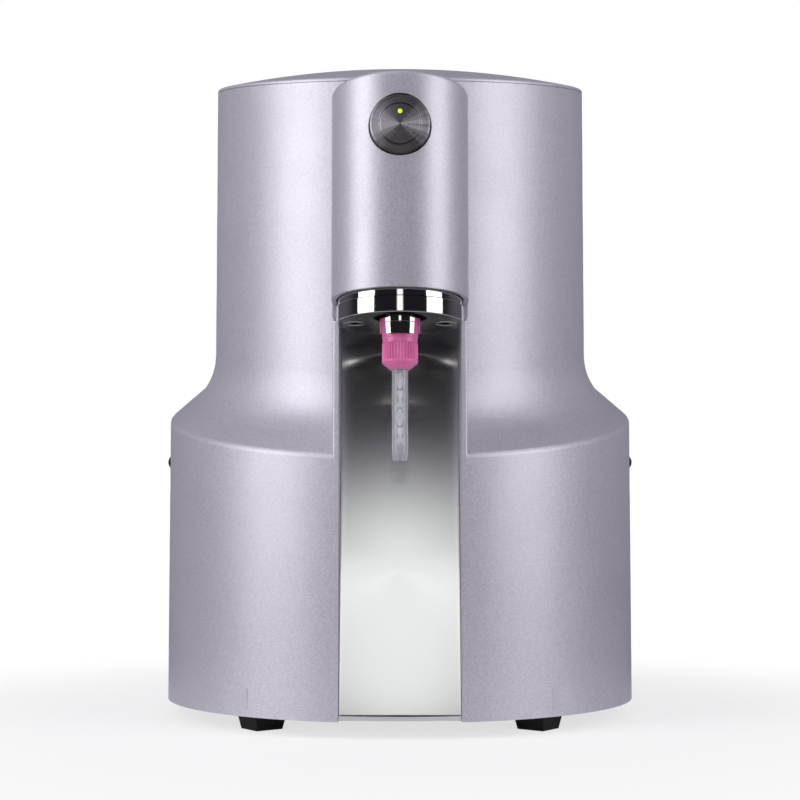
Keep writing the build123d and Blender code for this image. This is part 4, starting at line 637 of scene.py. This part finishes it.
@dataclass
class StartButton:
    """Round push button in the front of the nose."""

    bezel_r: float = 14.95 * MM
    bore_r: float = 10.28 * MM
    bevel: float = 0.7 * MM
    cap_r: float = 10.2 * MM
    cap_bevel: float = 0.45 * MM
    cap_proud: float = 0.12 * MM
    edge_r: float = 0.1 * MM
    cap_depth: float = 2.2 * MM
    stem_r: float = 7.5 * MM
    gasket_t: float = 0.8 * MM
    gasket_r: float = 15.7 * MM
    gasket_round: float = 0.3 * MM
    lens_r: float = 1.2 * MM
    lens_rise: float = 6.2 * MM
    lens_crown: float = 0.22 * MM
    lens_shoulder: float = 0.16 * MM
    lens_bend: float = 0.7
    lens_round: float = 0.4 * MM
    lens_sink: float = 0.05 * MM
    lens_steps: int = 48
    rim_w: float = 0.3 * MM
    rim_h: float = 0.06 * MM
    cap_rings: int = 22
    steps: int = 192

    def build(self, shop: Workshop) -> None:
        """Makes gasket, bezel, cap and lens on their nodes' places.

        Args:
            shop: the workshop.
        """
        low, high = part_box("button_bezel")
        front, back, z = low.y, high.y, (low.z + high.z) / 2
        cap_front = front - self.cap_proud
        cap_low, cap_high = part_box("button_cap")
        skirt = cap_low.y + self.cap_depth
        round_off = self.edge_r
        bezel = rounded([
            (self.bore_r, back, 0.0), (self.bore_r, front + self.cap_bevel, round_off),
            (self.bore_r + self.cap_bevel, front, round_off), (self.bezel_r - self.bevel, front, round_off),
            (self.bezel_r, front + self.bevel, round_off), (self.bezel_r, back, 0.0),
            (self.bore_r, back, 0.0),
        ], 3)
        shop.piece("button_bezel_ring", [turned(bezel, (0.0, 0.0, z), Axis.FRONT, self.steps)],
                   "bezel_steel", replaced=["button_bezel"], sharp=60.0)
        inner, gasket_back = self.bore_r + MM, back + self.gasket_t
        gasket = rounded([
            (inner, back, 0.0), (self.gasket_r, back, self.gasket_round),
            (self.gasket_r, gasket_back, self.gasket_round), (inner, gasket_back, 0.0), (inner, back, 0.0),
        ], 3)
        shop.piece("button_gasket_ring", [turned(gasket, (0.0, 0.0, z), Axis.FRONT, self.steps)],
                   "black_rubber", replaced=["button_gasket"])
        cap = rounded([
            (0.0, cap_front, 0.0), (self.cap_r - self.cap_bevel, cap_front, round_off),
            (self.cap_r, cap_front + self.cap_bevel, round_off), (self.cap_r, skirt, 0.0),
            (self.stem_r, skirt, 0.0), (self.stem_r, cap_high.y, 0.0), (0.0, cap_high.y, 0.0),
        ], 3)
        rings = np.linspace(0.0, 1.0, self.cap_rings + 2)[1:-1, None] * (cap[1] - cap[0]) + cap[0]
        cap = np.concatenate([cap[:1], rings, cap[1:]])
        shop.piece("button_cap_turned", [turned(cap, (0.0, 0.0, z), Axis.FRONT, self.steps)], "bezel_steel",
                   "button", ["button_cap"], sharp=60.0)
        lens_back = cap_front + MM
        lens = rounded([
            (0.0, cap_front - self.lens_crown, 0.0),
            (self.lens_r * self.lens_bend, cap_front - self.lens_shoulder, self.lens_round),
            (self.lens_r, cap_front + self.lens_sink, round_off), (self.lens_r, lens_back, 0.0),
            (0.0, lens_back, 0.0),
        ], 4)
        lens_at = (0.0, 0.0, z + self.lens_rise)
        shop.piece("button_lens", [turned(lens, lens_at, Axis.FRONT, self.lens_steps)], "led_lens",
                   "button", ["button_led"])
        rim_r = self.lens_r + self.rim_w
        rim_front, rim_back = cap_front - self.rim_h, cap_front + self.rim_w
        rim = rounded([
            (self.lens_r, rim_back, 0.0), (self.lens_r, rim_front, self.rim_h / 2),
            (rim_r, rim_front, self.rim_h / 2), (rim_r, rim_back, 0.0), (self.lens_r, rim_back, 0.0),
        ], 2)
        shop.piece("button_lens_rim", [turned(rim, lens_at, Axis.FRONT, self.lens_steps)],
                   "black_plastic", "button")


@dataclass
class OutletTrim:
    """Round bead of the outlet flange's lower edge, and the raised rims of its two screw heads."""

    bead: float = 0.42 * MM
    rim_r: float = 5.15 * MM
    rim: float = 0.3 * MM
    sink: float = 0.1 * MM
    wire_steps: int = 16
    bead_steps: int = 144
    rim_steps: int = 64

    def build(self, shop: Workshop) -> None:
        """Makes the bead and the rims on the flange.

        Args:
            shop: the workshop.
        """
        low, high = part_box("outlet_flange")
        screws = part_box("flange_screws")
        flange_r = (high.x - low.x) / 2
        middle = (screws[0].y + screws[1].y) / 2
        head_r = (screws[1].y - screws[0].y) / 2
        bead = self.hoop(flange_r - self.bead, self.bead, (0.0, middle, low.z + self.bead), self.bead_steps)
        shop.piece("outlet_flange_bead", [bead], "polished_nickel", sharp=80.0)
        across = screws[1].x - head_r
        rims = [self.hoop(self.rim_r, self.rim, (side * across, middle, low.z + self.sink), self.rim_steps)
                for side in (-1, 1)]
        shop.piece("flange_screw_rims", rims, "polished_nickel", sharp=80.0)

    def hoop(self, ring_r: float, wire_r: float, centre: tuple[float, float, float], steps: int) -> Patch:
        """Turns a small circle about an upright axis.

        Args:
            ring_r: radius of the circle's path.
            wire_r: radius of the circle.
            centre: middle of the hoop.
            steps: columns round the hoop.

        Returns:
            The closed grid.
        """
        angle = np.linspace(0.0, TAU, self.wire_steps + 1)
        section = np.stack([ring_r + wire_r * np.cos(angle), wire_r * np.sin(angle)], axis=1)
        return turned(section, centre, Axis.UP, steps)


@dataclass
class MixingTip:
    """Throw-away mixing tip: ribbed collar with lugs, clear tube and the twisted blades inside it."""

    collar_r: float = 9.1 * MM
    neck_r: float = 8.8 * MM
    bore_r: float = 7.2 * MM
    hole_r: float = 4.15 * MM
    foot_r: float = 5.0 * MM
    cone_h: float = 3.4 * MM
    rib_count: int = 37
    rib_steps: int = 10
    rib_depth: float = 0.6 * MM
    rib_foot: float = 4.5 * MM
    rib_top: float = 13.2 * MM
    rib_inset: float = 0.9
    rim_foot: float = 15.6 * MM
    step_h: float = 5.8 * MM
    lug_r: float = 10.1 * MM
    lug_half: float = 1.24 * MM
    lug_h: float = 7.7 * MM
    lug_round: float = 0.35 * MM
    tube_r: float = 4.1 * MM
    tip_r: float = 3.6 * MM
    wall: float = 0.9 * MM
    taper_h: float = 4.5 * MM
    taper_round: float = 2.0 * MM
    head_r: float = 7.1 * MM
    head_t: float = 3.0 * MM
    blade_count: int = 5
    blade_pitch: float = 9.24 * MM
    blade_half: float = 1.45 * MM
    blade_thick: float = 0.7 * MM
    blade_share: float = 0.9
    blade_corners: int = 20
    blade_steps: int = 24
    tube_steps: int = 96
    disc_steps: int = 64
    disc_sag: float = 0.05 * MM
    soft: float = 0.25 * MM

    def build(self, shop: Workshop) -> None:
        """Makes collar, tube and blades on their nodes' places.

        Args:
            shop: the workshop.
        """
        low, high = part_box("mixer_tube")
        axis = ((low.x + high.x) / 2, (low.y + high.y) / 2)
        collar = shop.piece("mixer_collar_ribbed", self.collar(axis), "pink_plastic", "mixing_tip",
                            ["mixer_collar"], sharp=40.0)
        tube = shop.piece("mixer_tube_clear", [self.tube(axis)], "clear_plastic", "mixing_tip",
                          ["mixer_tube"], sharp=40.0)
        # Collar and tube can't be made out in the brushed splash plate, so no gloss mirrors them.
        collar.visible_glossy = tube.visible_glossy = False
        shop.piece("mixer_blades", self.blades(axis), "white_plastic", "mixing_tip",
                   ["mixer_element"], sharp=40.0)

    def collar(self, axis: tuple[float, float]) -> list[Patch]:
        """Turns the collar's wall and sets four lugs on it.

        Between the ribs the radius is less by the rib depth times half of one minus the cosine of the angle
        times the number of ribs.

        Args:
            axis: the tip's middle, across and forward.

        Returns:
            The wall and the lugs.
        """
        foot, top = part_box("mixer_collar")[0].z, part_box("mixer_collar")[1].z
        cone_top, step = foot + self.cone_h, foot + self.step_h
        rib_foot, rib_top, rim_foot = foot + self.rib_foot, foot + self.rib_top, foot + self.rim_foot
        soft = self.soft
        wall = rounded([
            (self.hole_r, foot, 0.0), (self.foot_r, foot, soft), (self.collar_r, cone_top, soft),
            (self.collar_r, rib_foot, 0.0), (self.collar_r, rib_foot + soft, 0.0),
            (self.collar_r, rib_top - soft, 0.0), (self.collar_r, rib_top, 0.0),
            (self.neck_r, rib_top + soft, soft / 2), (self.neck_r, rim_foot, soft / 2),
            (self.collar_r, rim_foot + soft, soft / 2), (self.collar_r, top, soft),
            (self.bore_r, top, soft), (self.bore_r, step, 0.0), (self.hole_r, step, 0.0),
            (self.hole_r, foot, 0.0),
        ], 4)
        steps = self.rib_count * self.rib_steps
        angle = np.linspace(0.0, TAU, steps, endpoint=False)[None, :]
        middle = (rib_foot + rib_top) / 2
        reach = (rib_top - rib_foot) / 2 - soft * self.rib_inset
        ribbed = (np.abs(wall[:, 1:2] - middle) < reach) & (wall[:, :1] > self.neck_r)
        grooves = -self.rib_depth * (0.5 - 0.5 * np.cos(self.rib_count * angle)) * ribbed
        turned_wall = turned(wall, (axis[0], axis[1], 0.0), Axis.UP, steps, grooves)
        return [turned_wall] + [self.lug(axis, top, ways) for ways in ((1, 0), (-1, 0), (0, 1), (0, -1))]

    def lug(self, axis: tuple[float, float], top: float, ways: tuple[int, int]) -> Patch:
        """Makes one lug, which stands out of the collar's neck.

        Args:
            axis: the tip's middle, across and forward.
            top: height of the collar's top.
            ways: which way the lug stands out, across and forward.

        Returns:
            The lug.
        """
        inner = self.neck_r - self.soft
        half = (self.lug_half * abs(ways[1]), self.lug_half * abs(ways[0]))
        low = [axis[i] + min(inner * ways[i], self.lug_r * ways[i]) - half[i] for i in range(2)]
        high = [axis[i] + max(inner * ways[i], self.lug_r * ways[i]) + half[i] for i in range(2)]
        return softened_block((*low, top - self.lug_h), (*high, top), self.lug_round)

    def tube(self, axis: tuple[float, float]) -> Patch:
        """Turns the tube's wall, with its tapered tip and the head that sits in the collar.

        Args:
            axis: the tip's middle, across and forward.

        Returns:
            The wall.
        """
        foot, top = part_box("mixer_tube")[0].z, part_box("mixer_tube")[1].z
        taper, head = foot + self.taper_h, top - self.head_t
        tip_bore, bore = self.tip_r - self.wall, self.tube_r - self.wall
        wall = rounded([
            (tip_bore, foot, 0.0), (self.tip_r, foot, self.soft), (self.tube_r, taper, self.taper_round),
            (self.tube_r, head, 0.0), (self.head_r, head, 0.0), (self.head_r, top, 0.0), (bore, top, 0.0),
            (bore, taper, self.taper_round), (tip_bore, foot, 0.0),
        ], 5)
        return turned(wall, (axis[0], axis[1], 0.0), Axis.UP, self.tube_steps)

    def blades(self, axis: tuple[float, float]) -> list[Patch]:
        """Twists a row of blades, each half a turn long, left- and right-handed by turns, set crosswise.

        A blade's section is an ellipse with squared ends: half width times the square root of the cosine, and
        half thickness times the square root of the sine, with their signs. It turns by half a turn over its
        length, which is a share of the pitch.

        Args:
            axis: the tip's middle, across and forward.

        Returns:
            The blades and the disc that they hang from.
        """
        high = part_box("mixer_element")[1]
        under = high.z - self.head_t
        angle = np.linspace(0.0, TAU, self.blade_corners, endpoint=False)[None, :]
        across = self.blade_half * np.sign(np.cos(angle)) * np.sqrt(np.abs(np.cos(angle)))
        through = self.blade_thick * np.sign(np.sin(angle)) * np.sqrt(np.abs(np.sin(angle)))
        share = np.linspace(0.0, 1.0, self.blade_steps + 1)
        share = np.concatenate([[0.0], share, [1.0]])[:, None]
        size = np.ones_like(share)
        size[0], size[-1] = 0.0, 0.0
        made = []
        for index in range(self.blade_count):
            hand = 1.0 if index % 2 else -1.0
            turn = math.pi * hand * share + math.pi / 2 * (index % 2)
            x = size * (across * np.cos(turn) - through * np.sin(turn)) + axis[0]
            y = size * (across * np.sin(turn) + through * np.cos(turn)) + axis[1]
            height = under - self.blade_pitch * (index + 1 - share * self.blade_share)
            z = np.repeat(height, angle.shape[1], axis=1)
            made.append(Patch(np.stack([x, y, z], axis=-1)))
        disc = rounded([
            (0.0, under - self.disc_sag, 0.0), (self.head_r, under, self.soft),
            (self.head_r, high.z, self.soft), (0.0, high.z, 0.0),
        ], 4)
        return made + [turned(disc, (axis[0], axis[1], 0.0), Axis.UP, self.disc_steps)]


@dataclass
class PhotoCamera:
    """Camera on the machine's middle line, low on the bench and tilted up a little."""

    lens: float = 56.25
    sensor: float = 36.0
    distance: float = 0.7675
    height: float = 0.096
    tilt: float = 3.0
    lift: float = 0.1131

    def build(self) -> None:
        """Adds the camera and makes it the scene's own."""
        data = bpy.data.cameras.new("camera")
        data.lens = self.lens
        data.sensor_width = self.sensor
        data.shift_y = self.lift
        made = bpy.data.objects.new("camera", data)
        made.location = (0.0, -self.distance, self.height)
        made.rotation_euler = (math.radians(90.0 + self.tilt), 0.0, 0.0)
        bpy.context.scene.collection.objects.link(made)
        bpy.context.scene.camera = made


@dataclass
class Softbox:
    """Flat soft lamp that looks at the machine."""

    name: str
    azimuth: float
    elevation: float
    distance: float
    width: float
    height: float
    power: float
    target: tuple[float, float, float] = (0.0, 0.0, 0.20)

    def build(self) -> None:
        """Adds the lamp, turned to its target. Azimuth 0 is in front and 90 to the right."""
        data = bpy.data.lights.new(self.name, "AREA")
        data.shape = "RECTANGLE"
        data.size = self.width
        data.size_y = self.height
        data.energy = self.power
        made = bpy.data.objects.new(self.name, data)
        azimuth, elevation = math.radians(self.azimuth), math.radians(self.elevation)
        away = np.array([math.sin(azimuth) * math.cos(elevation), -math.cos(azimuth) * math.cos(elevation),
                         math.sin(elevation)])
        made.location = np.array(self.target) + away * self.distance
        made.rotation_euler = (math.radians(90.0) - elevation, 0.0, azimuth)
        bpy.context.scene.collection.objects.link(made)


@dataclass
class Studio:
    """Pale floor, soft lamps, and a room that is white to the camera and dark to polished metal."""

    floor_r: float = 4.0
    first_ring_r: float = 0.1
    floor_rings: int = 24
    floor_steps: int = 64
    floor_colour: Colour = (0.93, 0.93, 0.93)
    paper_grain: float = 2.0 * MM
    paper_tone: float = 0.02
    paper_rough: float = 0.6
    bright_end: float = 0.24
    dim_start: float = 0.36
    shadow_share: float = 0.30
    shadow_start: float = 0.17
    shadow_end: float = 0.5
    card_level: float = 1.52
    card_half: float = 0.088
    card_soft: float = 0.02
    card_top: float = 0.295
    card_fade: float = 0.055
    card_foot: float = 0.108
    foot_fade: float = 0.02
    dark: float = 0.018
    sky: float = 0.08
    sky_start: float = 0.45
    sky_end: float = 0.9
    behind: float = 0.13
    behind_start: float = -0.1
    behind_end: float = 0.5
    ambient: float = 0.29
    tint: Colour = (0.93, 0.90, 1.0)
    lamps: tuple[Softbox, ...] = field(default_factory=lambda: (
        Softbox("softbox_left", -59.0, 20.0, 1.3, 0.74, 1.7, 12.6),
        Softbox("softbox_right", 60.0, 20.0, 1.3, 0.72, 1.7, 9.7),
        Softbox("overhead", -40.0, 78.0, 1.5, 1.0, 0.8, 1.3),
    ))

    def build(self) -> None:
        """Adds the floor, the room and the lamps."""
        bpy.context.scene.view_settings.view_transform = "Standard"
        self.floor()
        self.room()
        for lamp in self.lamps:
            lamp.build()

    def floor(self) -> None:
        """Makes a flat disc whose far part turns plain white to the camera, so that it has no horizon."""
        radius = np.concatenate([[0.0], np.geomspace(self.first_ring_r, self.floor_r, self.floor_rings)])
        profile = np.stack([radius, np.zeros_like(radius)], axis=1)
        disc = turned(profile, (0.0, 0.0, 0.0), steps=self.floor_steps)
        mesh = bpy.data.meshes.new("floor")
        mesh.from_pydata(disc.points.reshape(-1, 3), [], disc.faces(0))
        made = bpy.data.objects.new("floor", mesh)
        bpy.context.scene.collection.objects.link(made)
        look = bpy.data.materials.new("floor_look")
        look.use_nodes = True
        graph = Graph(look.node_tree)
        spot = graph.place()
        away = graph.add("VectorMath", {0: spot}, operation="LENGTH").outputs["Value"]
        paper = graph.blend(graph.noise(self.paper_grain, 3.0),
                            linear(self.floor_colour, 1.0 - self.paper_tone),
                            linear(self.floor_colour, 1.0 + self.paper_tone))
        diffuse = graph.add("BsdfDiffuse", {"Color": paper, "Roughness": self.paper_rough})
        glow = graph.add("Emission", {"Color": linear(WHITE), "Strength": 1.0})
        fade = graph.span(away, self.shadow_start, self.shadow_end, 1.0 - self.shadow_share, 1.0, True)
        path = graph.add("LightPath")
        share = graph.maths("MULTIPLY", fade, path.outputs["Is Camera Ray"])
        mixed = graph.add("MixShader", {0: share, 1: diffuse.outputs[0], 2: glow.outputs[0]})
        dim = graph.add("Emission", {"Color": linear(WHITE), "Strength": self.dark})
        far = graph.span(away, self.bright_end, self.dim_start, 0.0, 1.0, True)
        gloss = graph.maths("MULTIPLY", path.outputs["Is Glossy Ray"], far)
        seen = graph.add("MixShader", {0: gloss, 1: mixed.outputs[0], 2: dim.outputs[0]})
        graph.add("OutputMaterial", {"Surface": seen.outputs[0]})
        mesh.materials.append(look)

    def room(self) -> None:
        """Lights the world, which is white to the camera and through clear plastic.

        To gloss it is a dark studio with a pale card low in front, a soft sky overhead and a grey wall
        behind, all but the card with a faint tint.
        """
        world = bpy.data.worlds.new("studio")
        world.use_nodes = True
        bpy.context.scene.world = world
        graph = Graph(world.node_tree)
        path = graph.add("LightPath")
        way = graph.add("SeparateXYZ", {0: graph.add("TexCoord").outputs["Generated"]})
        aside = graph.maths("ABSOLUTE", way.outputs[0])
        across = graph.span(aside, self.card_half - self.card_soft, self.card_half + self.card_soft,
                            1.0, 0.0, True)
        up = graph.span(way.outputs[2], self.card_top - self.card_fade, self.card_top + self.card_fade,
                        self.card_level, 0.0, True)
        foot = graph.span(way.outputs[2], self.card_foot - self.foot_fade, self.card_foot + self.foot_fade,
                          0.0, 1.0, True)
        card = graph.maths("MULTIPLY", graph.maths("MULTIPLY", across, foot), up)
        above = graph.span(way.outputs[2], self.sky_start, self.sky_end, 0.0, self.sky, True)
        front = graph.maths("ADD", graph.maths("ADD", card, above), self.dark)
        rear = graph.span(way.outputs[1], self.behind_start, self.behind_end, 0.0, 1.0, True)
        gloss = graph.maths("ADD", graph.maths("MULTIPLY", front, graph.maths("SUBTRACT", 1.0, rear)),
                            graph.maths("MULTIPLY", rear, self.behind))
        gloss_share = path.outputs["Is Glossy Ray"]
        level = graph.maths("ADD", graph.maths("MULTIPLY", gloss, gloss_share),
                            graph.maths("MULTIPLY", graph.maths("SUBTRACT", 1.0, gloss_share), self.ambient))
        white = graph.maths("MAXIMUM", path.outputs["Is Camera Ray"], path.outputs["Is Transmission Ray"])
        level = graph.maths("MAXIMUM", level, white)
        plain = graph.maths("MAXIMUM", white, graph.maths("MULTIPLY", card, gloss_share))
        colour = graph.blend(plain, linear(self.tint), linear(WHITE))
        back = graph.add("Background", {"Color": colour, "Strength": level})
        graph.add("OutputWorld", {"Surface": back.outputs[0]})


def main() -> None:
    """Builds the studio and dresses the machine, part by part."""
    logging.basicConfig(level=logging.INFO, format="%(name)s %(message)s")
    PhotoCamera().build()
    Studio().build()
    shop = Workshop()
    shop.dress_nodes()
    for part in (StartButton(), OutletTrim(), MixingTip()):
        part.build(shop)


if __name__ == "__main__":
    main()
